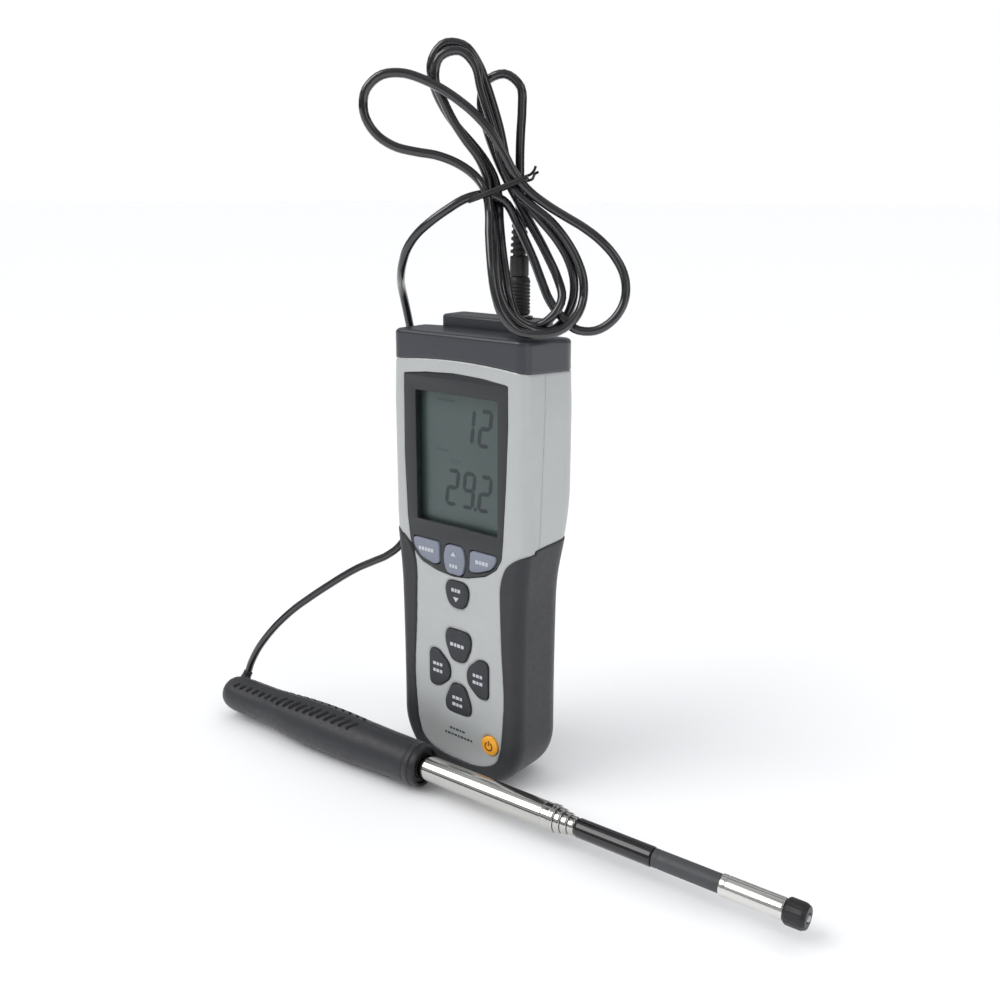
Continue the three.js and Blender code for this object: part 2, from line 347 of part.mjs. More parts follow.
const glandDir = new THREE.Vector3(0, Math.sin(0.66), Math.cos(0.66));
const glandAt = (r) => new THREE.Vector3(7, 0, 0).addScaledVector(glandDir, r);
handle = cut(handle, rod(glandAt(4.6), glandAt(14), 3.0, 16), rod(new THREE.Vector3(16, -6.2, -2), new THREE.Vector3(16, 20, -2), 1.4, 12), rod(new THREE.Vector3(16, 5.6, -2), new THREE.Vector3(16, 20, -2), 2.7, 14));
const half = (sgn) => common(handle, sgn > 0 ? box(-5, 140, SPLIT, 30, -30, 30) : box(-5, 140, -30, -SPLIT, -30, 30));
node("handle_near", half(-1), 0x2b2b2e, 0.6, 0, probe);
node("handle_far", half(1), 0x2b2b2e, 0.6, 0, probe);
node("handle_screw", join(rod(new THREE.Vector3(16, 5.9, -2), new THREE.Vector3(16, 7.4, -2), 2.3, 14), rod(new THREE.Vector3(16, -5.6, -2), new THREE.Vector3(16, 6, -2), 1.0, 10)), 0x8b8d90, 0.35, 1, probe);
node("cord_gland", rod(glandAt(5), glandAt(11.9), 2.65, 16), 0x1b1b1d, 0.6, 0, probe);
node("handle_bush", ringX(126.3, 132, 6.05, 7.7), 0x151517, 0.5, 0, probe);

// telescope: each tube slides in the one before; its end ring shows ahead of the tube outside it
TUBE_R.forEach((r, i) => {
  const inner = r - TUBE_WALL, s0 = TUBE_START + i * 1.4;
  let t;
  if (i === 0) t = join(ringX(s0, TUBE_END[0], inner, r), ringX(202.4, TUBE_END[0], inner, r + 0.18));
  else if (i < 4) t = join(ringX(s0, TUBE_END[i], inner, r), ringX(TUBE_END[i - 1] + GAP, TUBE_END[i], inner, r + 0.28));
  else t = ringX(s0, TUBE_END[3] + 6, r - 0.9, r);
  node("tube_" + (i + 1), t, 0xd6d7d8, 0.12, 1, probe);
});
node("sensor_stem", lathe([[TUBE_END[3] + GAP, 3.3], [TUBE_END[3] + GAP, 3.9], [TUBE_END[3] + 1.5, 4.1], [STEM_END, 4.1], [STEM_END, 0], [TUBE_END[3] + 6.3, 0], [TUBE_END[3] + 6.3, 3.3], [TUBE_END[3] + GAP, 3.3]]), 0x161618, 0.15, 0, probe);

node("sensor_barrel", lathe([[STEM_END + GAP, 0], [STEM_END + GAP, 3.75], [GREY_END, 3.75], [GREY_END, 0]]), 0x4a4b4d, 0.6, 0, probe);
node("sensor_sleeve", ringX(SLEEVE_0, SLEEVE_1, 3.98, 4.3), 0xd0d1d2, 0.15, 1, probe);
const holder = join(lathe([[GREY_END + GAP, 0], [GREY_END + GAP, 3.6], [285.6, 3.6], [285.6, 0]]), lathe([[299.8, 0], [299.8, 3.6], [SLEEVE_1, 3.6], [SLEEVE_1, 0]]),
  common(join(solid(new THREE.BoxGeometry(16, 1.6, 1.6).translate(292.5, 2.75, 0)), solid(new THREE.BoxGeometry(16, 1.6, 1.6).translate(292.5, -2.75, 0))), lathe([[280, 0], [280, 3.6], [305, 3.6], [305, 0]])));
node("sensor_holder", holder, 0x9a9c9f, 0.4, 0.8, probe);
node("sensor_bead", join(solid(new THREE.SphereGeometry(0.9, 12, 8).translate(292.5, 0, 0)), solid(new THREE.CylinderGeometry(0.22, 0.22, 13.5, 8).rotateZ(Math.PI / 2).translate(292.7, 0, 0))), 0xe8e4da, 0.3, 0, probe);
node("tip_cap", lathe([[SLEEVE_1 + GAP, 0], [SLEEVE_1 + GAP, 4.6], [SLEEVE_1 + 0.9, 5.15], [310.9, 5.15], [TIP_END, 4.3], [TIP_END, 1.9], [309.5, 1.9], [309.5, 0]]), 0x151517, 0.35, 0, probe);
node("tip_pin", lathe([[309.8, 0], [309.8, 1.55], [TIP_END + 0.2, 1.55], [TIP_END + 0.6, 1.0], [TIP_END + 0.6, 0]], 16), 0xc9cacb, 0.2, 1, probe);

export default group;
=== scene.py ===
"""Hot-wire thermo-anemometer: hand-held meter, corded telescopic probe. Looks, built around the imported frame."""
import bpy, bmesh, math
import numpy as np
from mathutils import Vector, Matrix


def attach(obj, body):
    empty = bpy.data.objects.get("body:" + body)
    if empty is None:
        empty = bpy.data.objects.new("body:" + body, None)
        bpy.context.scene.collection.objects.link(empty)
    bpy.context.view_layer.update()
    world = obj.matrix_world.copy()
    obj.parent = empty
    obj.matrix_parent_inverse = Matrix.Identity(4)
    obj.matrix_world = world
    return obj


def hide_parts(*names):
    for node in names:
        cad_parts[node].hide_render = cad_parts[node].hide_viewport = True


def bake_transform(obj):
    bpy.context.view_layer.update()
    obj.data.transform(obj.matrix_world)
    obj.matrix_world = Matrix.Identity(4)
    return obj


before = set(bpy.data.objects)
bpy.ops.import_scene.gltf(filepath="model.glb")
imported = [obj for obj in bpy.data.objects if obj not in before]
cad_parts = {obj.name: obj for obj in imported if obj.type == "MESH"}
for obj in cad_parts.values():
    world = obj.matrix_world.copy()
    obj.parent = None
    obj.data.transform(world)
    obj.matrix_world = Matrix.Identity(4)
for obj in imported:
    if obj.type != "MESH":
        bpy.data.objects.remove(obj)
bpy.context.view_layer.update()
MM = 0.001
METER = "meter_and_handle"
scene = bpy.context.scene


# ------------------------------------------------------------------ camera, floor, light
def make_camera():
    az, el, roll = 0.678930746, 0.271993709, 0.00237
    back = Vector((math.sin(az) * math.cos(el), -math.cos(az) * math.cos(el), math.sin(el)))
    right = Vector((math.cos(az), math.sin(az), 0.0))
    up = back.cross(right)
    r2 = right * math.cos(roll) + up * math.sin(roll)
    u2 = up * math.cos(roll) - right * math.sin(roll)
    cam = bpy.data.cameras.new("camera")
    cam.sensor_fit = "HORIZONTAL"
    cam.sensor_width = 36.0
    cam.lens = 38.34
    cam.clip_start, cam.clip_end = 0.01, 50.0
    o = bpy.data.objects.new("camera", cam)
    scene.collection.objects.link(o)
    m = Matrix.Identity(4)
    for i in range(3):
        m[i][0], m[i][1], m[i][2] = r2[i], u2[i], back[i]
    m[0][3], m[1][3], m[2][3] = 0.29554, -0.35284, 0.26220
    o.matrix_world = m
    scene.camera = o


def link(nt, a, b):
    nt.links.new(a, b)


def make_stage():
    scene.view_settings.view_transform = "Standard"
    me = bpy.data.meshes.new("floor")
    bm = bmesh.new()
    bmesh.ops.create_grid(bm, x_segments=8, y_segments=8, size=30.0)
    bm.to_mesh(me); bm.free()
    floor = bpy.data.objects.new("floor", me)
    scene.collection.objects.link(floor)
    floor.location = (0.0, 0.0, -0.0004)
    m = bpy.data.materials.new("floor")
    m.use_nodes = True
    b = m.node_tree.nodes["Principled BSDF"]
    b.inputs["Base Color"].default_value = (0.90, 0.905, 0.92, 1)
    b.inputs["Roughness"].default_value = 0.75
    b.inputs["Specular IOR Level"].default_value = 0.15
    me.materials.append(m)
    # studio surround: white, with a greyer band low down on the far right that gives metal its dark streaks
    w = bpy.data.worlds.new("studio")
    scene.world = w
    w.use_nodes = True
    nt = w.node_tree
    nt.nodes.clear()
    out = nt.nodes.new("ShaderNodeOutputWorld")
    bg = nt.nodes.new("ShaderNodeBackground")
    tc = nt.nodes.new("ShaderNodeTexCoord")
    sep = nt.nodes.new("ShaderNodeSeparateXYZ")
    ramp = nt.nodes.new("ShaderNodeValToRGB")
    link(nt, tc.outputs["Generated"], sep.inputs[0])
    mr = nt.nodes.new("ShaderNodeMapRange")
    mr.inputs["From Min"].default_value, mr.inputs["From Max"].default_value = -1.0, 1.0
    link(nt, sep.outputs["Z"], mr.inputs["Value"])
    link(nt, mr.outputs["Result"], ramp.inputs["Fac"])
    stops = [(0.0, 0.9), (0.49, 0.92), (0.51, 0.16), (0.57, 0.14), (0.60, 0.85), (0.65, 0.9), (0.68, 0.18), (0.73, 0.16), (0.76, 1.05), (0.83, 1.1), (0.86, 0.2), (0.90, 0.18), (0.925, 0.95), (0.965, 1.0), (0.985, 0.45), (1.0, 0.4)]
    cr = ramp.color_ramp
    while len(cr.elements) < len(stops):
        cr.elements.new(0.5)
    for e, (p, v) in zip(cr.elements, stops):
        e.position = p
        e.color = (v, v * 1.005, v * 1.02, 1)
    lp = nt.nodes.new("ShaderNodeLightPath")
    mix = nt.nodes.new("ShaderNodeMixShader")
    bgc = nt.nodes.new("ShaderNodeBackground")
    bgc.inputs["Color"].default_value = (1, 1, 1, 1)
    bgc.inputs["Strength"].default_value = 1.0
    bg.inputs["Strength"].default_value = 0.62
    link(nt, ramp.outputs["Color"], bg.inputs["Color"])
    link(nt, lp.outputs["Is Camera Ray"], mix.inputs["Fac"])
    link(nt, bg.outputs[0], mix.inputs[1])
    link(nt, bgc.outputs[0], mix.inputs[2])
    link(nt, mix.outputs[0], out.inputs["Surface"])

    def area(name, loc, target, size, power, colour=(1, 1, 1)):
        l = bpy.data.lights.new(name, "AREA")
        l.shape = "RECTANGLE"
        l.size, l.size_y = size
        l.energy = power
        l.color = colour
        o = bpy.data.objects.new(name, l)
        scene.collection.objects.link(o)
        o.location = loc
        d = Vector(target) - Vector(loc)
        o.rotation_euler = d.to_track_quat("-Z", "Y").to_euler()
        return o
    def sun(name, direction, strength, angle, colour=(1, 1, 1)):
        l = bpy.data.lights.new(name, "SUN")
        l.energy = strength
        l.angle = math.radians(angle)
        l.color = colour
        o = bpy.data.objects.new(name, l)
        scene.collection.objects.link(o)
        o.rotation_euler = Vector(direction).to_track_quat("-Z", "Y").to_euler()
        o.location = (0, 0, 1)
        return o
    sun("key", (0.55, 0.80, -0.95), 1.25, 40, (1.0, 0.995, 0.985))
    sun("top", (-0.15, 0.10, -1.0), 1.55, 110, (0.99, 0.995, 1.0)).visible_glossy = False
    area("rim", (1.0, -0.1, 0.5), (0, 0, 0.1), (0.25, 0.9), 1.2, (1.0, 0.97, 0.96))


make_camera()
make_stage()

# ------------------------------------------------------------------ cord route, in millimetres
CORD_D = 3.7
CORD_ROUTE = [
    (13.0,10.0,252.0), (13.0,9.9,260.8), (13.2,9.7,269.6), (13.0,9.9,278.4), (12.7,10.7,287.1), (12.5,11.7,295.9), (11.5,12.0,304.6), (5.5,9.1,309.7),
    (-1.3,5.1,306.7), (-2.6,3.7,298.4), (-0.5,4.1,289.8), (2.6,4.6,281.7), (6.7,4.7,273.9), (11.4,4.8,266.5), (16.3,5.2,259.1), (21.2,5.7,251.9),
    (26.3,6.0,244.7), (31.1,6.2,237.3), (35.4,6.5,229.7), (39.4,4.5,222.2), (39.2,-0.6,215.5), (33.1,-4.0,210.8), (28.0,-9.9,213.7), (24.8,-11.2,221.7),
    (21.6,-9.6,229.7), (18.3,-7.6,237.6), (15.3,-5.4,245.6), (12.0,-2.3,253.1), (9.1,0.8,260.8), (6.2,1.4,269.0), (2.0,-0.3,276.6), (-2.9,-3.1,283.3),
    (-7.7,-6.6,289.8), (-11.5,-9.9,297.0), (-13.9,-12.6,305.0), (-14.3,-13.4,313.6), (-10.4,-10.2,320.4), (-3.9,-5.0,319.7), (0.3,-1.5,313.0), (2.9,0.6,304.9),
    (5.2,2.3,296.5), (7.4,3.5,288.1), (9.6,3.7,279.6), (12.6,3.1,271.3), (17.1,2.8,263.8), (22.9,3.9,257.3), (28.7,5.9,251.0), (34.1,8.0,244.4),
    (38.7,9.3,237.0), (41.7,9.4,228.8), (41.9,8.4,220.1), (39.3,5.9,212.3), (37.6,-1.8,208.8), (33.5,-9.3,210.0), (28.2,-14.3,214.7), (23.9,-15.8,222.1),
    (21.0,-14.6,230.3), (18.3,-12.3,238.4), (15.3,-9.4,246.1), (11.6,-6.1,253.3), (7.4,-2.6,260.2), (5.7,-2.4,268.7), (3.0,-4.6,276.7), (-1.2,-7.9,283.7),
    (-5.0,-11.0,291.0), (-8.1,-13.5,298.8), (-10.7,-15.5,307.0), (-9.0,-14.2,315.1), (-2.7,-9.1,317.4), (2.0,-5.3,311.7), (3.8,-4.0,303.2), (6.2,-2.7,294.8),
    (8.9,-1.8,286.5), (11.8,-1.6,278.2), (15.3,-1.5,270.1), (20.3,-0.6,263.0), (26.6,1.7,257.4), (32.9,4.7,252.1), (38.3,7.1,245.5), (42.6,9.1,238.1),
    (45.5,10.3,229.9), (46.5,9.3,221.3), (46.6,4.1,214.4), (43.2,-2.1,209.5), (38.1,-9.0,208.2), (32.5,-15.6,209.6), (27.6,-19.2,215.7), (24.1,-19.6,223.7),
    (21.2,-18.2,231.9), (18.3,-15.8,239.9), (15.4,-12.9,247.6), (12.7,-9.7,255.4), (10.0,-8.7,263.6), (3.9,-8.4,269.8), (-2.7,-11.6,274.6), (-9.1,-16.7,277.6),
    (-15.8,-22.2,279.0), (-22.4,-27.6,281.1), (-28.1,-32.2,285.9), (-31.5,-34.9,293.4), (-31.0,-34.5,302.0), (-26.2,-30.6,307.9), (-19.2,-25.5,308.8), (-12.1,-21.0,306.4),
    (-5.4,-16.7,302.5), (0.8,-12.7,297.7), (6.5,-9.1,292.1), (11.6,-6.3,285.5), (15.8,-4.1,278.1), (19.6,-2.0,270.5), (24.5,0.9,263.9), (30.6,4.5,258.6),
    (37.4,7.9,254.1), (44.4,11.1,249.8), (50.8,14.2,244.7), (56.2,17.0,238.3), (60.1,18.4,230.7), (61.5,17.3,222.1), (59.4,13.7,214.5), (54.0,9.0,209.5),
    (46.3,5.3,209.5), (39.8,3.2,214.8), (33.6,3.5,221.0), (29.1,4.0,228.5), (24.9,4.5,236.2), (20.7,4.1,243.9), (16.7,3.0,251.7), (13.6,-0.1,259.2),
    (8.1,-5.7,262.4), (2.7,-12.3,260.8), (-2.6,-17.8,256.5), (-9.2,-20.9,251.6), (-16.1,-22.1,246.3), (-22.2,-21.6,240.1), (-27.5,-19.1,233.5), (-32.8,-14.6,228.2),
    (-38.1,-9.0,223.8), (-41.9,-3.7,218.1), (-43.2,-0.2,210.2), (-43.1,1.8,201.6), (-43.2,3.5,193.0), (-43.6,5.1,184.3), (-43.8,6.5,175.7), (-43.9,7.5,166.9),
    (-43.9,8.1,158.1), (-43.9,8.2,149.3), (-44.2,7.7,140.6), (-44.5,6.7,131.8), (-44.7,4.9,123.2), (-44.5,2.4,114.8), (-44.8,-0.8,106.7), (-47.8,-4.2,99.4),
    (-53.6,-7.3,94.0), (-61.0,-9.8,89.9), (-68.3,-12.3,85.9), (-75.3,-15.0,81.2), (-82.0,-17.6,76.2), (-88.7,-20.1,71.1), (-95.3,-22.6,65.8), (-101.8,-25.0,60.4),
    (-107.9,-27.3,54.5), (-113.7,-29.5,48.2), (-119.0,-31.5,41.5), (-123.7,-33.5,34.4), (-127.5,-35.2,26.7), (-128.9,-35.9,22.6),
    (-129.3, -36.5, 20.6),
]


def catmull(points, step):
    """even samples about step apart on a smooth curve through the points"""
    p = np.array(points, float)
    q = np.vstack([2 * p[0] - p[1], p, 2 * p[-1] - p[-2]])
    out = []
    t = np.linspace(0, 1, 12, endpoint=False)[:, None]
    for i in range(1, len(q) - 2):
        a, b, c, d = q[i - 1], q[i], q[i + 1], q[i + 2]
        out.append(0.5 * ((2 * b) + (-a + c) * t + (2 * a - 5 * b + 4 * c - d) * t ** 2 + (-a + 3 * b - 3 * c + d) * t ** 3))
    out.append(p[-1:])
    c = np.vstack(out)
    s = np.concatenate([[0], np.cumsum(np.linalg.norm(np.diff(c, axis=0), axis=1))])
    n = max(2, int(round(s[-1] / step)))
    ss = np.linspace(0, s[-1], n + 1)
    return np.stack([np.interp(ss, s, c[:, k]) for k in range(3)], 1)


# ------------------------------------------------------------------ mesh helpers (all in mm, scaled at the end)
def new_object(name, verts, faces, smooth=32.0):
    me = bpy.data.meshes.new(name)
    me.from_pydata([tuple(v) for v in (np.asarray(verts, float) * MM)], [], faces)
    me.update()
    o = bpy.data.objects.new(name, me)
    scene.collection.objects.link(o)
    finish_mesh(o, smooth)
    return o


def finish_mesh(o, smooth=32.0, weld=2e-6, outward=True):
    bm = bmesh.new()
    bm.from_mesh(o.data)
    bmesh.ops.remove_doubles(bm, verts=bm.verts, dist=weld)
    bmesh.ops.dissolve_degenerate(bm, edges=bm.edges, dist=1e-7)
    if outward:
        bmesh.ops.recalc_face_normals(bm, faces=bm.faces)
    bm.to_mesh(o.data)
    bm.free()
    for p in o.data.polygons:
        p.use_smooth = True
    o.data.set_sharp_from_angle(angle=math.radians(smooth))


def tube(name, pts, radius, segs=12, closed=False, flat=None, smooth=60):
    """round tube along points; radius is a number or one for each point; flat is not used"""
    p = np.asarray(pts, float)
    n = len(p)
    r = np.broadcast_to(np.asarray(radius, float), (n,))
    if closed:
        t = np.roll(p, -1, 0) - np.roll(p, 1, 0)
    else:
        t = np.gradient(p, axis=0)
    t /= np.linalg.norm(t, axis=1)[:, None]
    a = np.array([0, 0, 1.0]) if abs(t[0][2]) < 0.9 else np.array([1.0, 0, 0])
    u = np.cross(t[0], a); u /= np.linalg.norm(u)
    us = [u]
    for i in range(1, n):
        u = us[-1] - t[i] * np.dot(us[-1], t[i])
        us.append(u / np.linalg.norm(u))
    us = np.array(us)
    vs = np.cross(t, us)
    th = np.linspace(0, 2 * np.pi, segs, endpoint=False)
    ring = p[:, None, :] + r[:, None, None] * (np.cos(th)[None, :, None] * us[:, None, :] + np.sin(th)[None, :, None] * vs[:, None, :])
    verts = ring.reshape(-1, 3)
    faces = []
    for i in range(n if closed else n - 1):
        j = (i + 1) % n
        for k in range(segs):
            l = (k + 1) % segs
            faces.append((i * segs + k, i * segs + l, j * segs + l, j * segs + k))
    if not closed:
        faces.append(tuple(range(segs))[::-1])
        faces.append(tuple((n - 1) * segs + k for k in range(segs)))
    return new_object(name, verts, faces, smooth)


def fillet(profile, r, n=4):
    """profile corners rounded: (s, radius) points; r one number or one for each corner"""
    p = np.asarray(profile, float)
    out = [p[0]]
    for i in range(1, len(p) - 1):
        rr = r[i] if isinstance(r, (list, tuple)) else r
        a, b, c = p[i - 1], p[i], p[i + 1]
        la, lc = np.linalg.norm(a - b), np.linalg.norm(c - b)
        k = min(rr, la * 0.48, lc * 0.48)
        if k < 1e-3:
            out.append(b)
            continue
        q0, q1 = b + (a - b) / la * k, b + (c - b) / lc * k
        for t in np.linspace(0, 1, n + 1):
            out.append((1 - t) ** 2 * q0 + 2 * t * (1 - t) * b + t * t * q1)
    out.append(p[-1])
    return np.array(out)


PROBE_AT = np.array([-136.0, -43.8, 11.5])
TURN = math.radians(3.0)


def probe_to_row(v):
    v = np.asarray(v, float)
    x = v[:, 0] * math.cos(TURN) - v[:, 1] * math.sin(TURN)
    y = v[:, 0] * math.sin(TURN) + v[:, 1] * math.cos(TURN)
    return np.stack([x, y, v[:, 2]], 1) + PROBE_AT


def lathe(name, profile, frame_of="probe", segs=64, closed=False, smooth=32.0, at=(13.0, 10.0)):
    """turned piece: profile of (station, radius); probe pieces turn about the probe axis, plug pieces about a vertical"""
    p = np.asarray(profile, float)
    th = np.linspace(0, 2 * np.pi, segs, endpoint=False)
    s = np.repeat(p[:, 0], segs)
    r = np.repeat(p[:, 1], segs)
    a = np.tile(th, len(p))
    if frame_of == "probe":
        v = probe_to_row(np.stack([s, r * np.cos(a), r * np.sin(a)], 1))
    else:
        v = np.stack([at[0] + r * np.cos(a), at[1] + r * np.sin(a), s], 1)
    faces = []
    n = len(p)
    for i in range(n if closed else n - 1):
        j = (i + 1) % n
        for k in range(segs):
            l = (k + 1) % segs
            faces.append((i * segs + k, i * segs + l, j * segs + l, j * segs + k))
    return new_object(name, v, faces, smooth)


def rounded(pts, r, n=6):
    """closed outline with every corner rounded"""
    p = np.asarray(pts, float)
    m = len(p)
    out = []
    for i in range(m):
        b, a, c = p[i], p[i - 1], p[(i + 1) % m]
        la, lc = np.linalg.norm(a - b), np.linalg.norm(c - b)
        k0, k1 = min(r, la * 0.49), min(r, lc * 0.49)
        q0, q1 = b + (a - b) / la * k0, b + (c - b) / lc * k1
        for t in np.linspace(0, 1, n + 1):
            out.append((1 - t) ** 2 * q0 + 2 * t * (1 - t) * b + t * t * q1)
    return clean(np.array(out))


def clean(p, tol=1e-3):
    keep = [p[0]]
    for q in p[1:]:
        if np.linalg.norm(q - keep[-1]) > tol:
            keep.append(q)
    if np.linalg.norm(keep[0] - keep[-1]) < tol:
        keep.pop()
    return np.array(keep)


def area2(p):
    x, y = p[:, 0], p[:, 1]
    return 0.5 * np.sum(x * np.roll(y, -1) - np.roll(x, -1) * y)


def grown(pts, d):
    p = np.asarray(pts, float)
    if area2(p) < 0:
        p = p[::-1]
    e0 = p - np.roll(p, 1, 0)
    e1 = np.roll(p, -1, 0) - p
    e0 /= np.linalg.norm(e0, axis=1)[:, None]
    e1 /= np.linalg.norm(e1, axis=1)[:, None]
    n0 = np.stack([e0[:, 1], -e0[:, 0]], 1)
    n1 = np.stack([e1[:, 1], -e1[:, 0]], 1)
    k = d / (1 + np.sum(n0 * n1, 1))
    return p + (n0 + n1) * k[:, None]


def to_world(p2, t, axis):
    """2-D outline point arrays and a depth to 3-D: axis y -> (x, t, z); x -> (t, y, z); z -> (x, y, t)"""
    t = np.broadcast_to(t, (len(p2),))
    if axis == "y":
        return np.stack([p2[:, 0], t, p2[:, 1]], 1)
    if axis == "x":
        return np.stack([t, p2[:, 0], p2[:, 1]], 1)
    return np.stack([p2[:, 0], p2[:, 1], t], 1)


def prism(axis, outline, t0, t1, name="cutter", tilt=None):
    p = clean(np.asarray(outline, float))
    n = len(p)
    v = np.vstack([to_world(p, t0, axis), to_world(p, t1, axis)])
    if tilt is not None:
        v = tilt(v)
    faces = [tuple(range(n))[::-1], tuple(range(n, 2 * n))]
    for i in range(n):
        j = (i + 1) % n
        faces.append((i, j, n + j, n + i))
    return new_object(name, v, faces, 30)


def rect(x0, x1, y0, y1):
    return [[x0, y0], [x1, y0], [x1, y1], [x0, y1]]


def disc(x, y, r, n=40):
    a = np.linspace(0, 2 * np.pi, n, endpoint=False)
    return np.stack([x + r * np.cos(a), y + r * np.sin(a)], 1)


def drop(o):
    me = o.data
    bpy.data.objects.remove(o, do_unlink=True)
    if me.users == 0:
        bpy.data.meshes.remove(me)


def boolean(o, others, op):
    """o cut, joined or crossed with each of the others, which are used up"""
    for c in others:
        m = o.modifiers.new("b", "BOOLEAN")
        m.operation = op
        m.object = c
        m.solver = "MANIFOLD"
    bpy.context.view_layer.update()
    dg = bpy.context.evaluated_depsgraph_get()
    me = bpy.data.meshes.new_from_object(o.evaluated_get(dg))
    o.modifiers.clear()
    old = o.data
    o.data = me
    me.name = o.name
    if old.users == 0:
        bpy.data.meshes.remove(old)
    for c in others:
        drop(c)
    if not len(o.data.polygons):
        raise RuntimeError(o.name + ": nothing is left after " + op)
    return o


def copy_of(o, name):
    n = o.copy()
    n.data = o.data.copy()
    n.name = name
    scene.collection.objects.link(n)
    return n


def plate(name, outline, holes, axis, t0, t1, bevel, res=3, smooth=32):
    """a flat plate with rounded edges, with holes; t0 < t1 along the axis"""
    cu = bpy.data.curves.new(name + "_c", "CURVE")
    cu.dimensions = "2D"
    cu.fill_mode = "BOTH"
    cu.extrude = (t1 - t0) / 2 - bevel
    cu.bevel_depth = bevel
    cu.bevel_resolution = res
    cu.offset = -bevel
    for k, loop in enumerate([outline] + list(holes)):
        p = clean(np.asarray(loop, float))
        if (area2(p) > 0) != (k == 0):
            p = p[::-1]
        sp = cu.splines.new("POLY")
        sp.points.add(len(p) - 1)
        for i, q in enumerate(p):
            sp.points[i].co = (q[0], q[1], 0, 1)
        sp.use_cyclic_u = True
    co = bpy.data.objects.new(name + "_c", cu)
    scene.collection.objects.link(co)
    bpy.context.view_layer.update()
    me = bpy.data.meshes.new_from_object(co)
    bpy.data.objects.remove(co, do_unlink=True)
    bpy.data.curves.remove(cu)
    mid = (t0 + t1) / 2
    for v in me.vertices:
        x, y, z = v.co
        if axis == "y":
            v.co = Vector((x, mid - z, y)) * MM
        elif axis == "x":
            v.co = Vector((mid + z, x, y)) * MM
        else:
            v.co = Vector((x, y, mid + z)) * MM
    me.name = name
    o = bpy.data.objects.new(name, me)
    scene.collection.objects.link(o)
    finish_mesh(o, smooth, weld=1e-6)
    return o


def merge(name, objs, smooth=32):
    """several meshes as one object"""
    bm = bmesh.new()
    for o in objs:
        bm.from_mesh(o.data)
    me = bpy.data.meshes.new(name)
    bm.to_mesh(me)
    bm.free()
    for o in objs:
        drop(o)
    o = bpy.data.objects.new(name, me)
    scene.collection.objects.link(o)
    for p in me.polygons:
        p.use_smooth = True
    me.set_sharp_from_angle(angle=math.radians(smooth))
    return o


# ------------------------------------------------------------------ materials
MATS = {}


def material(name, colour, rough, metal=0.0, var=0.05, var_scale=70.0, rough_var=0.06, rough_scale=400.0,
             grain=0.0, grain_scale=2500.0, grain_dist=0.00003, stretch=(1, 1, 1), coat=0.0, coat_rough=0.1,
             spec=0.5, sheen=0.0, trans=0.0, ior=1.5, alpha=1.0, blotch=0.0, wave=0.0, wave_scale=1.0, turned=0.0):
    m = bpy.data.materials.new(name)
    m.use_nodes = True
    nt = m.node_tree
    b = nt.nodes["Principled BSDF"]
    tc = nt.nodes.new("ShaderNodeTexCoord")
    mp = nt.nodes.new("ShaderNodeMapping")
    mp.inputs["Scale"].default_value = stretch
    mp.inputs["Rotation"].default_value = (0, 0, -turned)
    link(nt, tc.outputs["Object"], mp.inputs["Vector"])

    def noise(scale, detail=4.0, rough_=0.55):
        n = nt.nodes.new("ShaderNodeTexNoise")
        n.inputs["Scale"].default_value = scale
        n.inputs["Detail"].default_value = detail
        n.inputs["Roughness"].default_value = rough_
        link(nt, mp.outputs[0], n.inputs["Vector"])
        return n
    n1 = noise(var_scale)
    cr = nt.nodes.new("ShaderNodeValToRGB")
    c = np.array(colour, float)
    lo, hi = np.clip(c * (1 - var), 0, 1), np.clip(c * (1 + var), 0, 1)
    cr.color_ramp.elements[0].position, cr.color_ramp.elements[1].position = 0.3, 0.7
    cr.color_ramp.elements[0].color = (*lo, 1)
    cr.color_ramp.elements[1].color = (*hi, 1)
    link(nt, n1.outputs["Fac"], cr.inputs["Fac"])
    last = cr.outputs["Color"]
    if blotch:  # fine speckle, as in a paint or a moulded skin
        n4 = noise(grain_scale * 0.6, 2.0)
        mx = nt.nodes.new("ShaderNodeMix")
        mx.data_type = "RGBA"
        mx.blend_type = "MULTIPLY"
        mx.inputs["Factor"].default_value = blotch
        link(nt, last, mx.inputs[6])
        link(nt, n4.outputs["Fac"], mx.inputs[7])
        last = mx.outputs[2]
    link(nt, last, b.inputs["Base Color"])
    n2 = noise(rough_scale)
    mr = nt.nodes.new("ShaderNodeMapRange")
    mr.inputs["From Min"].default_value, mr.inputs["From Max"].default_value = 0.25, 0.75
    mr.inputs["To Min"].default_value = max(0.02, rough - rough_var)
    mr.inputs["To Max"].default_value = min(1.0, rough + rough_var)
    link(nt, n2.outputs["Fac"], mr.inputs["Value"])
    link(nt, mr.outputs["Result"], b.inputs["Roughness"])
    if grain:
        n3 = noise(grain_scale, 2.0, 0.6)
        bp = nt.nodes.new("ShaderNodeBump")
        bp.inputs["Strength"].default_value = grain
        bp.inputs["Distance"].default_value = grain_dist
        link(nt, n3.outputs["Fac"], bp.inputs["Height"])
        link(nt, bp.outputs["Normal"], b.inputs["Normal"])
    b.inputs["Metallic"].default_value = metal
    b.inputs["Specular IOR Level"].default_value = spec
    b.inputs["Coat Weight"].default_value = coat
    b.inputs["Coat Roughness"].default_value = coat_rough
    b.inputs["Sheen Weight"].default_value = sheen
    b.inputs["Transmission Weight"].default_value = trans
    b.inputs["IOR"].default_value = ior
    b.inputs["Alpha"].default_value = alpha
    MATS[name] = m
    return m


def srgb(r, g, b):
    out = []
    for v in (r, g, b):
        v /= 255.0
        out.append(v / 12.92 if v <= 0.04045 else ((v + 0.055) / 1.055) ** 2.4)
    return tuple(out)


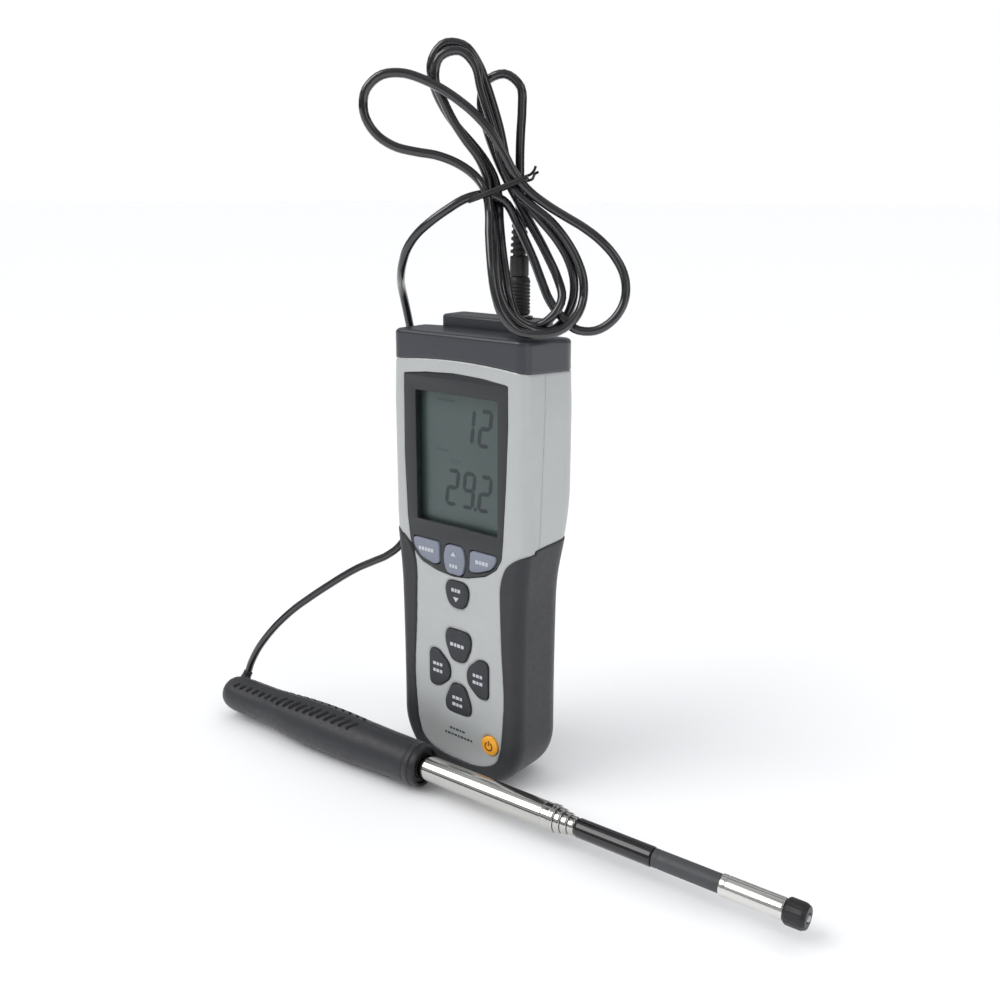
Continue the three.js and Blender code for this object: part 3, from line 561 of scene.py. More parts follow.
material("silver_shell", srgb(186, 189, 189), 0.40, metal=0.25, var=0.025, rough_var=0.05, grain=0.25, grain_scale=3200, blotch=0.07)
material("slate_cap", srgb(46, 48, 55), 0.34, var=0.06, rough_var=0.06, grain=0.3, grain_scale=2600, coat=0.25, coat_rough=0.25)
material("grip_rubber", srgb(38, 39, 43), 0.52, var=0.09, rough_var=0.08, grain=0.55, grain_scale=2200, sheen=0.12)
material("handle_rubber", srgb(34, 35, 40), 0.48, var=0.10, rough_var=0.10, grain=0.5, grain_scale=1900, sheen=0.10)
material("bezel_gloss", srgb(30, 32, 36), 0.20, var=0.05, rough_var=0.04, rough_scale=120, coat=0.15, coat_rough=0.05)
material("lens", (0.93, 0.96, 0.95), 0.04, var=0.01, rough_var=0.015, trans=1.0, ior=1.25)
material("lcd", srgb(78, 93, 92), 0.35, var=0.07, var_scale=28, rough_var=0.05, grain=0.1, grain_scale=4000)
material("lcd_ink", srgb(20, 32, 38), 0.4, var=0.05)
material("lcd_faint", srgb(62, 76, 78), 0.4, var=0.05)
material("white_plastic", srgb(226, 228, 228), 0.5, var=0.02, grain=0.1)
material("contact_strip", srgb(190, 98, 120), 0.6, var=0.10, var_scale=3000)
material("key_mat", srgb(104, 108, 110), 0.75, var=0.05, grain=0.3)
material("board", srgb(34, 96, 58), 0.42, var=0.22, var_scale=260, grain=0.2, coat=0.3)
material("black_plastic", srgb(30, 30, 32), 0.42, var=0.08, rough_var=0.08, grain=0.3, grain_scale=2600)
material("key_grey", srgb(128, 133, 148), 0.55, var=0.05, var_scale=300, rough_var=0.07, grain=0.4, grain_scale=2400)
material("key_dark", srgb(46, 48, 52), 0.5, var=0.07, var_scale=300, rough_var=0.07, grain=0.4, grain_scale=2400)
material("key_orange", srgb(246, 172, 46), 0.42, var=0.07, var_scale=350, rough_var=0.06, grain=0.3, grain_scale=2400, coat=0.2)
material("mark_light", srgb(196, 199, 206), 0.5, var=0.05, var_scale=1200)
material("mark_brown", srgb(120, 66, 12), 0.5, var=0.06, var_scale=1200)
material("mark_grey", srgb(66, 70, 74), 0.5, var=0.05, var_scale=1200)
material("steel", srgb(176, 178, 182), 0.32, metal=1.0, var=0.06, var_scale=500, rough_var=0.10, grain=0.15, grain_scale=3000)
material("chrome", srgb(196, 195, 191), 0.11, metal=1.0, var=0.10, var_scale=60, rough_var=0.05, rough_scale=240, stretch=(0.06, 5, 5), turned=TURN)
material("battery_wrap", srgb(42, 70, 112), 0.35, var=0.12, var_scale=120, rough_var=0.08, coat=0.3)
material("cord_black", srgb(22, 22, 25), 0.22, var=0.12, var_scale=240, rough_var=0.06, rough_scale=90, grain=0.0, coat=0.9, coat_rough=0.08)
material("gloss_black", srgb(18, 18, 21), 0.14, var=0.12, var_scale=180, rough_var=0.06, rough_scale=200, coat=0.5, coat_rough=0.05)
material("barrel_grey", srgb(66, 67, 70), 0.5, var=0.08, rough_var=0.08, grain=0.4, grain_scale=2600)
material("ceramic", srgb(232, 228, 218), 0.35, var=0.04, grain=0.2)
material("door_grey", srgb(66, 67, 71), 0.52, var=0.06, rough_var=0.07, grain=0.4, grain_scale=2400)
material("dark_gap", srgb(12, 12, 13), 0.8, var=0.10)
material("sleeve_bright", srgb(222, 221, 217), 0.2, metal=1.0, var=0.06, var_scale=80, rough_var=0.07, rough_scale=260, stretch=(0.15, 4, 4), turned=TURN)


def dress(o, mat, body, nodes=()):
    o.data.materials.clear()
    o.data.materials.append(MATS[mat])
    for p in o.data.polygons:
        p.material_index = 0
    if body:
        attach(o, body)
    if nodes:
        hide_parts(*nodes)
    return o


# CAD nodes that show as they are get the finish listed for them here, in each of their material slots
SLOT_OF = {m["node"]: m["slot"] for m in []}
CAD_LOOKS = {
    "display_lens": "lens", "lcd_glass": "lcd", "lcd_backlight": "white_plastic", "contact_strip_lower": "contact_strip",
    "contact_strip_upper": "contact_strip", "key_mat": "key_mat", "main_board": "board", "buzzer": "black_plastic",
    "battery": "battery_wrap", "battery_snap": "black_plastic", "din_socket": "black_plastic", "plug_shell": "steel",
    "handle_bush": "black_plastic", "sensor_holder": "steel", "sensor_bead": "ceramic", "tip_pin": "steel",
    "tube_5": "chrome", "battery_door": "door_grey",
}
for _n, _m in CAD_LOOKS.items():
    _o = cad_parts[_n]
    for _s in range(max(1, len(_o.material_slots))):
        if len(_o.material_slots) == 0:
            _o.data.materials.append(MATS[_m])
        else:
            _o.material_slots[_s].material = MATS[_m]

# ------------------------------------------------------------------ the cord
route = catmull(CORD_ROUTE, 2.2)
cord = tube("cord", route, CORD_D / 2, segs=14)
cord.data.materials.append(MATS["cord_black"])
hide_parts("cord_hank", "cord_tail")


# ------------------------------------------------------------------ the meter's outer form
HEAD, GRIP, FY, HB, GB, TOP = 38.1, 35.6, -17.0, 22.0, 15.8, 206.0


def smoothstep(a, b, x):
    t = np.clip((x - a) / (b - a), 0, 1)
    return t * t * (3 - 2 * t)


def half_w(z):
    g = GRIP - 0.5 * np.sin(np.pi * np.clip(z / 95, 0, 1))
    return g + (HEAD - g) * smoothstep(88, 124, z) - 0.9 * smoothstep(172, 198, z)


def back_y(z):
    return GB + (HB - GB) * smoothstep(96, 140, z)


def z_cap(x, y):
    t = np.clip((x + 38) / 76, 0, 1)
    return 192.4 + 9.6 * t * (1 - t) - 0.06 * (y + 17)


def y_seam(z):
    return -6.5 + 4.0 * np.clip((z - 118) / 88, 0, 1)


TOP_LINE = np.array([(-30, 112), (-17, 115), (-11, 116), (-6, 116.4), (8, 116.9), (30, 117.2)], float)
PANEL_R = catmull(np.array([(25.2, 22, 0), (26.2, 34, 0), (26.7, 48, 0), (25.4, 68, 0), (24.7, 84, 0), (24.5, 98, 0), (26.7, 106.4, 0), (30.2, 110.8, 0), (35, 114, 0), (40, 115.6, 0)]), 1.2)[:, :2]


def panel_outline(g=0.0):
    r = PANEL_R.copy()
    r[:, 0] -= g
    t = np.linspace(0, 1, 12)[:, None]
    low = (1 - t) ** 2 * np.array([9, 7.8 + g]) + 2 * t * (1 - t) * np.array([20, 9.3 + g]) + t * t * np.array([23.2 - g * 0.6, 15 + g])
    right = np.vstack([[0, 7.4 + g], low, r, [60, 116], [60, 150]])
    left = right[::-1].copy()
    left[:, 0] *= -1
    return clean(np.vstack([right, left]))


def smooth_top_line():
    t = catmull(np.column_stack([TOP_LINE, np.zeros(len(TOP_LINE))]), 1.0)[:, :2]
    return t


TOPL = smooth_top_line()
BACK_PANEL = rounded(rect(-21, 21, 20, 150), 6, 8)
WINDOW = [[-30.4, 187], [-17, 188.6], [-1, 189.4], [14.5, 188.8], [28.4, 187.2], [28.6, 170], [27.6, 145], [26.2, 121], [25.4, 111.5], [22.6, 106.3], [16.3, 101.8], [6, 98.6], [-2.5, 97.5], [-12, 98.4], [-21, 100.8], [-26.2, 105], [-28.2, 109], [-29.8, 121], [-30.9, 150]]
LCD = rect(-24, 22.6, 121, 180)
KEYS = {
    "key_soft_left": ([[-26.2, 112.2], [-10.6, 112.2], [-10.2, 102.6], [-13.6, 101.4], [-21.2, 103.4], [-25.6, 108]], 1.8, True),
    "key_soft_middle": ([[-6.4, 112.4], [3.4, 112.4], [4.9, 106], [3, 98.9], [-6.2, 98.9], [-8, 106]], 2.6, True),
    "key_soft_right": ([[7.8, 112.2], [22.4, 112.2], [22.2, 109.4], [19.5, 105.8], [12, 102.8], [7.3, 102.4]], 1.8, True),
    "key_select": ([[-5.6, 96], [5.6, 96], [7.2, 91], [4.4, 83.3], [-4, 83.3], [-7, 91]], 4, False),
    "key_up": ([[-6.4, 72.5], [7.4, 72.5], [8.3, 66.5], [4.3, 57.2], [-3.3, 57.2], [-7.3, 66.5]], 3.4, False),
    "key_left": ([[-17, 59.6], [-17, 42.2], [-12, 41.4], [-4.6, 47.4], [-4.6, 54.2], [-11.8, 60.4]], 3.2, False),
    "key_right": ([[18, 61.2], [12.8, 61.8], [5.7, 55.6], [5.7, 48.8], [12.8, 42.6], [18, 43.2]], 3.2, False),
    "key_down": ([[-3.4, 46], [4.2, 46], [8.2, 36.2], [6.9, 31.2], [-6.5, 31.2], [-7.7, 36.2]], 3.4, False),
}
POWER = (19.0, 21.2, 4.6)
DOOR = rect(-19.5, 19.5, 25, 93)
BOSS = [(-31, 182), (31, 182), (-31, 128), (31, 128)]


def sd_poly(px, pz, poly):
    """signed distance to a closed outline, negative inside"""
    p = np.asarray(poly, float)
    q = np.roll(p, -1, 0)
    best = np.full(px.shape, 1e9)
    inside = np.zeros(px.shape, bool)
    for (ax, az), (bx, bz) in zip(p, q):
        dx, dz = bx - ax, bz - az
        l2 = dx * dx + dz * dz
        if l2 < 1e-12:
            continue
        t = np.clip(((px - ax) * dx + (pz - az) * dz) / l2, 0, 1)
        best = np.minimum(best, (px - ax - t * dx) ** 2 + (pz - az - t * dz) ** 2)
        cross = ((az > pz) != (bz > pz)) & (px < dx * (pz - az) / (dz if abs(dz) > 1e-12 else 1e-12) + ax)
        inside ^= cross
    d = np.sqrt(best)
    return np.where(inside, -d, d)


PANEL = panel_outline()
WIN_OUT = rounded(WINDOW, 1.2)
KEY_OUT = {k: rounded(grown(p, 0.3), r) for k, (p, r, up) in KEYS.items() if not up}
KEY_OUT["key_power"] = disc(POWER[0], POWER[1], POWER[2] + 0.35)


def sd_rubber(x, y, z):
    """positive inside the rubber grip's area"""
    side = (np.interp(y, TOPL[:, 0], TOPL[:, 1]) - z) * 0.96
    front = sd_poly(x, z, PANEL)
    back = sd_poly(x, z, BACK_PANEL)
    d = side
    d = np.where(y < -9.0, np.minimum(d, front), d)
    d = np.where(y > 6, np.minimum(d, back), d)
    return d


US = [40, 12, 16, 14, 40, 14, 16, 12]  # front, corner, right side, corner, back, corner, left side, corner
UN = sum(US)
ZV = np.array([0, 0, 0, 0, 0.12, 0.35, 0.7, 1.2, 1.8, 2.5, 3.4, 4.6, 6, 8, 10, 12, 14] + list(np.linspace(15.8, 186, 98)) + list(np.linspace(187.5, 203.4, 11)) + [204.2, 204.6, 204.95, 205.3, 205.6, 205.8, 205.95, 206, 206, 206, 206, 206, 206, 206])
KV = np.array([0, 0.4, 0.8, 1] + [1] * (len(ZV) - 11) + [0.97, 0.9, 0.78, 0.6, 0.4, 0.2, 0.0])
RT = 1.8


def form(u, v, d=0.0, fine=True):
    """point on the outer form, set in by d, for u round the section (0 to UN) and v up the form (0 to len(ZV)-1)"""
    u = np.mod(np.asarray(u, float), UN)
    v = np.asarray(v, float)
    iv = np.arange(len(ZV))
    z = np.interp(v, iv, ZV)
    k = np.interp(v, iv, KV)
    w, b, f = half_w(z) - d, back_y(z) - d, FY + d + 0 * z
    rise = lambda r, zz: r - np.sqrt(np.maximum(r * r - np.maximum(r - zz, 0) ** 2, 0))
    w = w - rise(25.0, z)
    f = f + rise(4.0, z)
    b = b - rise(13.0, z)
    top = rise(RT, TOP - z)
    w, f, b = w - top, f + top, b - top
    rf = np.full(z.shape, max(4.8 - d, 1.5))
    rb = np.full(z.shape, max(10.5 - d, 1.5))
    rb = np.minimum(rb, (b - f) * 0.5)
    edges = np.cumsum([0] + US)
    x, y = np.zeros_like(u), np.zeros_like(u)
    nx, ny = np.zeros_like(u), np.zeros_like(u)
    for s in range(8):
        m = (u >= edges[s]) & (u < edges[s + 1])
        t = (u[m] - edges[s]) / US[s]
        W, F, B, RF, RB = w[m], f[m], b[m], rf[m], rb[m]
        if s == 0:
            x[m], y[m] = -W + RF + t * (2 * W - 2 * RF), F; nx[m], ny[m] = 0, -1
        elif s == 1:
            a = -np.pi / 2 + t * np.pi / 2
            x[m], y[m] = W - RF + RF * np.cos(a), F + RF + RF * np.sin(a); nx[m], ny[m] = np.cos(a), np.sin(a)
        elif s == 2:
            x[m], y[m] = W, F + RF + t * (B - F - RF - RB); nx[m], ny[m] = 1, 0
        elif s == 3:
            a = t * np.pi / 2
            x[m], y[m] = W - RB + RB * np.cos(a), B - RB + RB * np.sin(a); nx[m], ny[m] = np.cos(a), np.sin(a)
        elif s == 4:
            x[m], y[m] = W - RB - t * (2 * W - 2 * RB), B; nx[m], ny[m] = 0, 1
        elif s == 5:
            a = np.pi / 2 + t * np.pi / 2
            x[m], y[m] = -W + RB + RB * np.cos(a), B - RB + RB * np.sin(a); nx[m], ny[m] = np.cos(a), np.sin(a)
        elif s == 6:
            x[m], y[m] = -W, B - RB - t * (B - F - RF - RB); nx[m], ny[m] = -1, 0
        else:
            a = np.pi + t * np.pi / 2
            x[m], y[m] = -W + RF + RF * np.cos(a), F + RF + RF * np.sin(a); nx[m], ny[m] = np.cos(a), np.sin(a)
    if fine:
        # rubber stands proud with a soft lip; parting lines and openings have rolled edges
        side = (k > 0.999) & (z > 0.3) & (z < 205)
        s = sd_rubber(x, y, z)
        h = 0.42 * smoothstep(-0.15, 0.75, s) * smoothstep(0.0, 4.0, z)
        h -= 0.30 * np.exp(-((s + 0.15) / 0.34) ** 2)
        h -= 0.42 * np.exp(-((z - z_cap(x, y)) / 0.42) ** 2)
        seam = np.where((s < -0.2) & (z < z_cap(x, y) - 0.4) & (np.abs(x) > 25), 1.0, 0.0)
        h -= 0.34 * seam * np.exp(-((y - y_seam(z)) / 0.36) ** 2)
        on_front = y < -14.5
        for loop, depth, wdt in [(WIN_OUT, 0.35, 0.5)] + [(o, 0.40, 0.55) for o in KEY_OUT.values()]:
            near = on_front & (x > loop[:, 0].min() - 3) & (x < loop[:, 0].max() + 3) & (z > loop[:, 1].min() - 3) & (z < loop[:, 1].max() + 3)
            if near.any():
                q = sd_poly(x[near], z[near], loop)
                h[near] -= depth * np.exp(-(np.maximum(q, 0) / wdt) ** 2)
        h = np.where(side, h, 0.0)
        x, y = x + nx * h, y + ny * h
    # the foot and the top close in on a centre line
    cy = (f + b) / 2
    x, y = x * k, cy + (y - cy) * k
    zt = np.where(y < 2, 0, np.where(y < 20, (y - 2) / 18 * 2.3, np.where(y < 22.8, 2.3 + (y - 20) / 2.8 * 1.3, 3.6 + (y - 22.8) / 1.2 * 2.9)))
    zt = zt + np.maximum(np.abs(x) - 33.5, 0) ** 2 * 0.05
    z = np.where(z > 190, 190 + (z - 190) * (16 - zt) / 16, z)
    lo, hi = d, TOP - d
    if d:
        z = lo + z * (hi - lo) / TOP
    return np.stack([x, y, z], -1)


def near_border(x, y, z):
    d = np.abs(sd_rubber(x, y, z))
    d = np.minimum(d, np.abs(z - z_cap(x, y)))
    d = np.minimum(d, np.where((np.abs(x) > 30) & (z > 100) & (z < 195), np.abs(y - y_seam(z)), 99))
    on_front = y < -14.5
    for loop in [WIN_OUT] + list(KEY_OUT.values()):
        near = on_front & (x > loop[:, 0].min() - 3) & (x < loop[:, 0].max() + 3) & (z > loop[:, 1].min() - 3) & (z < loop[:, 1].max() + 3)
        if near.any():
            d[near] = np.minimum(d[near], np.abs(sd_poly(x[near], z[near], loop)))
    return d


def make_form(name, d=0.0, fine=True):
    bm = bmesh.new()
    nv = len(ZV)
    step = 1 if fine else 2
    ui = list(range(0, UN + 1, step))
    vi = list(range(0, nv))
    grid = [[bm.verts.new((float(a), float(b), 0)) for a in ui] for b in vi]
    for j in range(len(vi) - 1):
        for i in range(len(ui) - 1):
            bm.faces.new((grid[j][i], grid[j][i + 1], grid[j + 1][i + 1], grid[j + 1][i]))
    if fine:
        bm.faces.ensure_lookup_table()
        ce = np.array([f.calc_center_median()[:2] for f in bm.faces])
        c3 = form(ce[:, 0], ce[:, 1], fine=False)
        near = near_border(c3[:, 0], c3[:, 1], c3[:, 2]) < 1.7
        kk = np.interp(ce[:, 1], np.arange(nv), KV)
        near &= kk > 0.999
        # the seam column must be cut alike on both sides
        edges = {e for f, t in zip(bm.faces, near) if t for e in f.edges}
        lastcol = [f for f in bm.faces if f.calc_center_median()[0] > UN - 1.01 or f.calc_center_median()[0] < 1.01]
        for f in lastcol:
            for e in f.edges:
                if abs(e.verts[0].co.x - e.verts[1].co.x) < 1e-6 and (e.verts[0].co.x < 1e-6 or e.verts[0].co.x > UN - 1e-6):
                    edges.discard(e)
        bmesh.ops.subdivide_edges(bm, edges=list(edges), cuts=3, use_grid_fill=True)
    bmesh.ops.triangulate(bm, faces=bm.faces)
    co = np.array([v.co[:2] for v in bm.verts])
    p = form(co[:, 0], co[:, 1], d, fine) * MM
    for v, q in zip(bm.verts, p):
        v.co = q
    bmesh.ops.remove_doubles(bm, verts=bm.verts, dist=2e-6)
    bmesh.ops.dissolve_degenerate(bm, edges=bm.edges, dist=1e-7)
    bmesh.ops.recalc_face_normals(bm, faces=bm.faces)
    me = bpy.data.meshes.new(name)
    bm.to_mesh(me)
    open_edges = sum(1 for e in bm.edges if len(e.link_faces) != 2)
    bm.free()
    if open_edges:
        print("NOTE", name, "has", open_edges, "open edges")
    o = bpy.data.objects.new(name, me)
    scene.collection.objects.link(o)
    return o


def tilt_cap(v):
    v = v.copy()
    v[:, 2] -= 0.06 * (v[:, 1] + 17)
    return v


def cap_cutter(g):
    t = np.linspace(0, 1, 33)
    arc = np.stack([-38 + 76 * t, 192.4 + 9.6 * t * (1 - t) + g], 1)
    out = np.vstack([[-60, 235], [-60, 191.4 + g], arc, [60, 191.4 + g], [60, 235]])
    return prism("y", out, -30, 40, tilt=tilt_cap)


def front_cutter(g):
    return prism("x", [[-60, -10], [-6.5 + g, -10], [-6.5 + g, 118], [-2.5 + g, 206], [-2.5 + g, 230], [-60, 230]], -60, 60)


def rubber_cutter(g):
    top = np.vstack([[-30, -10], [30, -10], TOPL[::-1] + [0, g]])
    c = prism("x", top, -50, 50)
    return boolean(c, [prism("y", panel_outline(g), -30, -9.5 - g), prism("y", rounded(rect(-21 + g, 21 - g, 20 + g, 150), 6, 8), 6, 40)], "DIFFERENCE")


outer = make_form("outer_form")
inner_rubber = make_form("inner_rubber", 3.0, fine=False)
inner_seat = make_form("inner_seat", 3.3, fine=False)
cavity = boolean(make_form("cavity", 2.4, fine=False), [prism("z", rect(-50, 50, -40, 40), 119, 220)], "INTERSECT")
cavity_grip = boolean(make_form("cavity_grip", 5.6, fine=False), [prism("z", rect(-50, 50, -40, 40), -5, 187)], "INTERSECT")

# cap with its socket block
cap = boolean(copy_of(outer, "cap"), [cap_cutter(0.12)], "INTERSECT")
cap = boolean(cap, [boolean(copy_of(cavity, "c"), [prism("z", rect(-50, 50, -40, 40), 100, 203.4)], "INTERSECT")], "DIFFERENCE")
block = plate("block", rounded(rect(-26, 26, 3, 18.8), 3.2, 8), [], "z", 203.6, 211.2, 1.5, 4)
cap = boolean(cap, [block], "UNION")
cap = boolean(cap, [prism("z", disc(13, 10, 6.35), 190, 230)], "DIFFERENCE")
finish_mesh(cap, 34, weld=1e-6, outward=False)
dress(cap, "slate_cap", METER, ["top_cap"])

shell = boolean(copy_of(outer, "shell"), [cap_cutter(-0.12)], "DIFFERENCE")
# rubber grip
rubber = boolean(copy_of(shell, "grip_sleeve"), [rubber_cutter(-0.08)], "INTERSECT")
rubber = boolean(rubber, [inner_rubber], "DIFFERENCE")
finish_mesh(rubber, 34, weld=1e-6, outward=False)
dress(rubber, "grip_rubber", METER, ["rubber_grip"])
# hard shell
seat = boolean(rubber_cutter(0.08), [inner_seat], "DIFFERENCE")
shell = boolean(shell, [seat], "DIFFERENCE")
shell = boolean(shell, [cavity, cavity_grip], "DIFFERENCE")
front = boolean(copy_of(shell, "front_shell"), [front_cutter(-0.1)], "INTERSECT")
cuts = [prism("y", WIN_OUT, -30, -9)]
cuts += [prism("y", o, -30, -9) for o in KEY_OUT.values()]
front = boolean(front, cuts, "DIFFERENCE")
finish_mesh(front, 34, weld=1e-6, outward=False)
dress(front, "silver_shell", METER, ["front_housing"])
rear = boolean(shell, [front_cutter(0.1)], "DIFFERENCE")
rear.name = "rear_shell"
cuts = [prism("y", rounded(grown(DOOR, 0.3), 3, 8), 13.5, 40), prism("y", rounded(rect(-16.5, 16.5, 28, 84), 2), -5.2, 40), prism("y", disc(0, 88.6, 1.2, 24), 3, 40)]
rear = boolean(rear, [prism("y", rect(-17.5, 17.5, 84.2, 98), 6.8, 15.0)], "UNION")
for bx, bz in BOSS:
    rear = boolean(rear, [boolean(prism("y", disc(bx, bz, 4.3, 28), 10, 30), [copy_of(outer, "c")], "INTERSECT")], "UNION")
rear = boolean(rear, cuts + [prism("y", disc(bx, bz, 3.1, 28), 15.9, 40) for bx, bz in BOSS] + [prism("y", disc(bx, bz, 1.2, 20), 6, 40) for bx, bz in BOSS], "DIFFERENCE")
finish_mesh(rear, 34, weld=1e-6, outward=False)
dress(rear, "silver_shell", METER, ["rear_housing"])
drop(outer)

# ------------------------------------------------------------------ window
bezel = plate("bezel", rounded(grown(WINDOW, -0.3), 1.2), [rounded(LCD, 1.4)] + [rounded(grown(KEYS[k][0], 0.4), KEYS[k][1]) for k in KEYS if KEYS[k][2]], "y", -16.5, -13.4, 0.32)
dress(bezel, "bezel_gloss", METER, ["display_bezel"])


def seg_digit(x0, z0, w, h, on, t=1.85, slant=0.12, gap=0.10):
    """seven-segment digit as outlines in (x, z), leaning right"""
    m, polys = h / 2, []
    ht = t / 2

    def horiz(z):
        return [[ht + gap, z], [t + gap, z + ht], [w - t - gap, z + ht], [w - ht - gap, z], [w - t - gap, z - ht], [t + gap, z - ht]]

    def vert(x, za, zb):
        return [[x, za + ht + gap], [x + ht, za + t + gap], [x + ht, zb - t - gap], [x, zb - ht - gap], [x - ht, zb - t - gap], [x - ht, za + t + gap]]
    seg = {"a": horiz(h - ht), "g": horiz(m), "d": horiz(ht), "f": vert(ht, m - ht, h), "b": vert(w - ht, m - ht, h), "e": vert(ht, 0, m + ht), "c": vert(w - ht, 0, m + ht)}
    for s in on:
        polys.append([[x0 + px + slant * pz, z0 + pz] for px, pz in seg[s]])
    return polys


def ink(name, polys, y0, y1, mat, body=METER):
    objs = [prism("y", p, y0, y1, "i") for p in polys]
    o = merge(name, objs, 30)
    return dress(o, mat, body)


SEGS = {"1": "bc", "2": "abged", "9": "abcdfg"}
digits = seg_digit(-1.6, 157.8, 7.2, 16.8, SEGS["1"]) + seg_digit(7.9, 157.8, 7.2, 17.0, SEGS["2"])
digits += seg_digit(-11.0, 128.9, 7.3, 17.2, SEGS["2"]) + seg_digit(-1.6, 128.9, 7.3, 17.2, SEGS["9"]) + seg_digit(7.6, 128.9, 7.3, 17.2, SEGS["2"])
digits += [[[6.0, 128.9], [7.5, 128.9], [7.7, 130.5], [6.2, 130.5]]]
ink("lcd_digits", digits, -11.93, -11.78, "lcd_ink")
faint = [[[x, 175.8], [x + 2.6, 175.8], [x + 2.7, 176.7], [x + 0.1, 176.7]] for x in (-15, -11.2, -7.4)]
faint += [[[x, 153.4], [x + 1.7, 153.4], [x + 1.8, 154.6], [x + 0.1, 154.6]] for x in (-15.4, -12.8, -10.2)]
faint += [[[x, 149.2], [x + 1.5, 149.2], [x + 1.6, 150.2], [x + 0.1, 150.2]] for x in (-7.5, -5.2, -2.9)]
ink("lcd_small_marks", faint, -11.90, -11.78, "lcd_faint")


# ------------------------------------------------------------------ keys
def key_piece(name, outline, y_front, y_flange, y_back, mat, node, marks=(), mark_mat="mark_light", crown=0.30):
    p = clean(np.asarray(outline, float))
    if area2(p) < 0:
        p = p[::-1]
    e = np.roll(p, -1, 0) - np.roll(p, 1, 0)
    e /= np.linalg.norm(e, axis=1)[:, None]
    nrm = np.stack([e[:, 1], -e[:, 0]], 1)
    c = p.mean(0)
    rings = [(p * 0 + c, y_back), (c + (p - c) * 0.5, y_back), (p + nrm * 0.8, y_back), (p + nrm * 0.8, y_flange), (p, y_flange), (p, y_front + 0.75)]
    for a in np.linspace(0, np.pi / 2, 5)[1:]:
        rings.append((p - nrm * 0.45 * (1 - math.cos(a)), y_front + 0.75 - 0.45 * math.sin(a)))
    for s, h in ((0.90, 0.17), (0.82, 0.08), (0.70, 0.03), (0.5, 0.0), (0.25, 0.0), (0.0, 0.0)):
        rings.append((c + (p - nrm * 0.45 - c) * s, y_front + h))
    n = len(p)
    v = np.vstack([to_world(q, y, "y") for q, y in rings])
    faces = []
    for i in range(len(rings) - 1):
        for k in range(n):
            l = (k + 1) % n
            faces.append((i * n + k, i * n + l, (i + 1) * n + l, (i + 1) * n + k))
    o = new_object(name, v, faces, 40)
    dress(o, mat, node + "_body", [node])
    if marks:
        mk = merge(name + "_marks", [prism("y", m, y_front - 0.07, y_front + 0.12, "m") for m in marks], 30)
        dress(mk, mark_mat, node + "_body")
    return o


def bars(cx, cz, spec, h=1.1):
    """a row of short bars: spec is the widths, with gaps of 0.5 between"""
    total = sum(spec) + 0.5 * (len(spec) - 1)
    x, out = cx - total / 2, []
    for w in spec:
        out.append([[x, cz - h / 2], [x + w, cz - h / 2], [x + w, cz + h / 2], [x, cz + h / 2]])
        x += w + 0.5
    return out


def tri(cx, cz, r, up=1):
    return [[cx - r, cz - up * r * 0.5], [cx + r, cz - up * r * 0.5], [cx, cz + up * r * 0.9]][::up]


MARKS = {
    "key_soft_left": bars(-18.0, 107.6, [1.3, 1.5, 1.1, 1.5, 1.3], 1.7),
    "key_soft_middle": [tri(-1.6, 108.4, 1.4)] + bars(-1.6, 103.0, [1.1, 1.3, 1.1], 1.6),
    "key_soft_right": bars(14.8, 108.0, [1.5, 1.2, 1.5, 1.2], 1.7),
    "key_select": bars(0.1, 92.0, [1.4, 1.2, 1.5], 1.6) + [tri(0.1, 87.9, 1.6, -1)],
    "key_up": bars(0.5, 65.6, [1.8, 1.3, 1.8, 1.6], 1.6),
    "key_left": bars(-11.4, 53.2, [1.7, 1.4, 1.6], 1.5) + bars(-11.4, 49.8, [1.4, 1.7, 1.4], 1.5),
    "key_right": bars(12.6, 54.0, [1.4, 1.6, 1.4], 1.5) + bars(12.6, 50.6, [1.7, 1.2, 1.6], 1.5),
    "key_down": bars(0.4, 39.4, [1.6, 1.8, 1.3], 1.5) + bars(0.4, 36.0, [1.9, 1.3, 1.7], 1.5),
}
for k, (pts, r, up) in KEYS.items():
    if up:
        key_piece(k + "_cap", rounded(pts, r, 8), -17.6, -13.1, -12.1, "key_grey", k, MARKS[k])
    else:
        key_piece(k + "_cap", rounded(pts, r, 8), -18.0, -14.3, -12.1, "key_dark", k, MARKS[k])
arc = []
for i in range(4, 37):
    a0, a1 = math.radians(90 + 9 * i), math.radians(90 + 9 * (i + 1))
    arc.append([[POWER[0] + r * math.cos(a), POWER[1] + r * math.sin(a)] for r, a in ((1.6, a0), (2.3, a0), (2.3, a1), (1.6, a1))])
arc.append([[POWER[0] - 0.35, POWER[1] + 0.4], [POWER[0] + 0.35, POWER[1] + 0.4], [POWER[0] + 0.35, POWER[1] + 2.8], [POWER[0] - 0.35, POWER[1] + 2.8]])
key_piece("key_power_cap", disc(POWER[0], POWER[1], POWER[2], 48), -18.0, -14.3, -12.1, "key_orange", "key_power", arc, "mark_brown")
# two rows of small generic marks on the front, above the foot
small = bars(-0.6, 22.6, [1.6, 1.1, 1.8, 1.1, 1.6], 1.1) + bars(0.2, 19.6, [1.1, 1.8, 1.2, 1.7, 1.1, 1.8, 1.2, 1.6, 1.1], 1.1)
ink("front_marks", small, -17.06, -16.8, "mark_grey", METER)

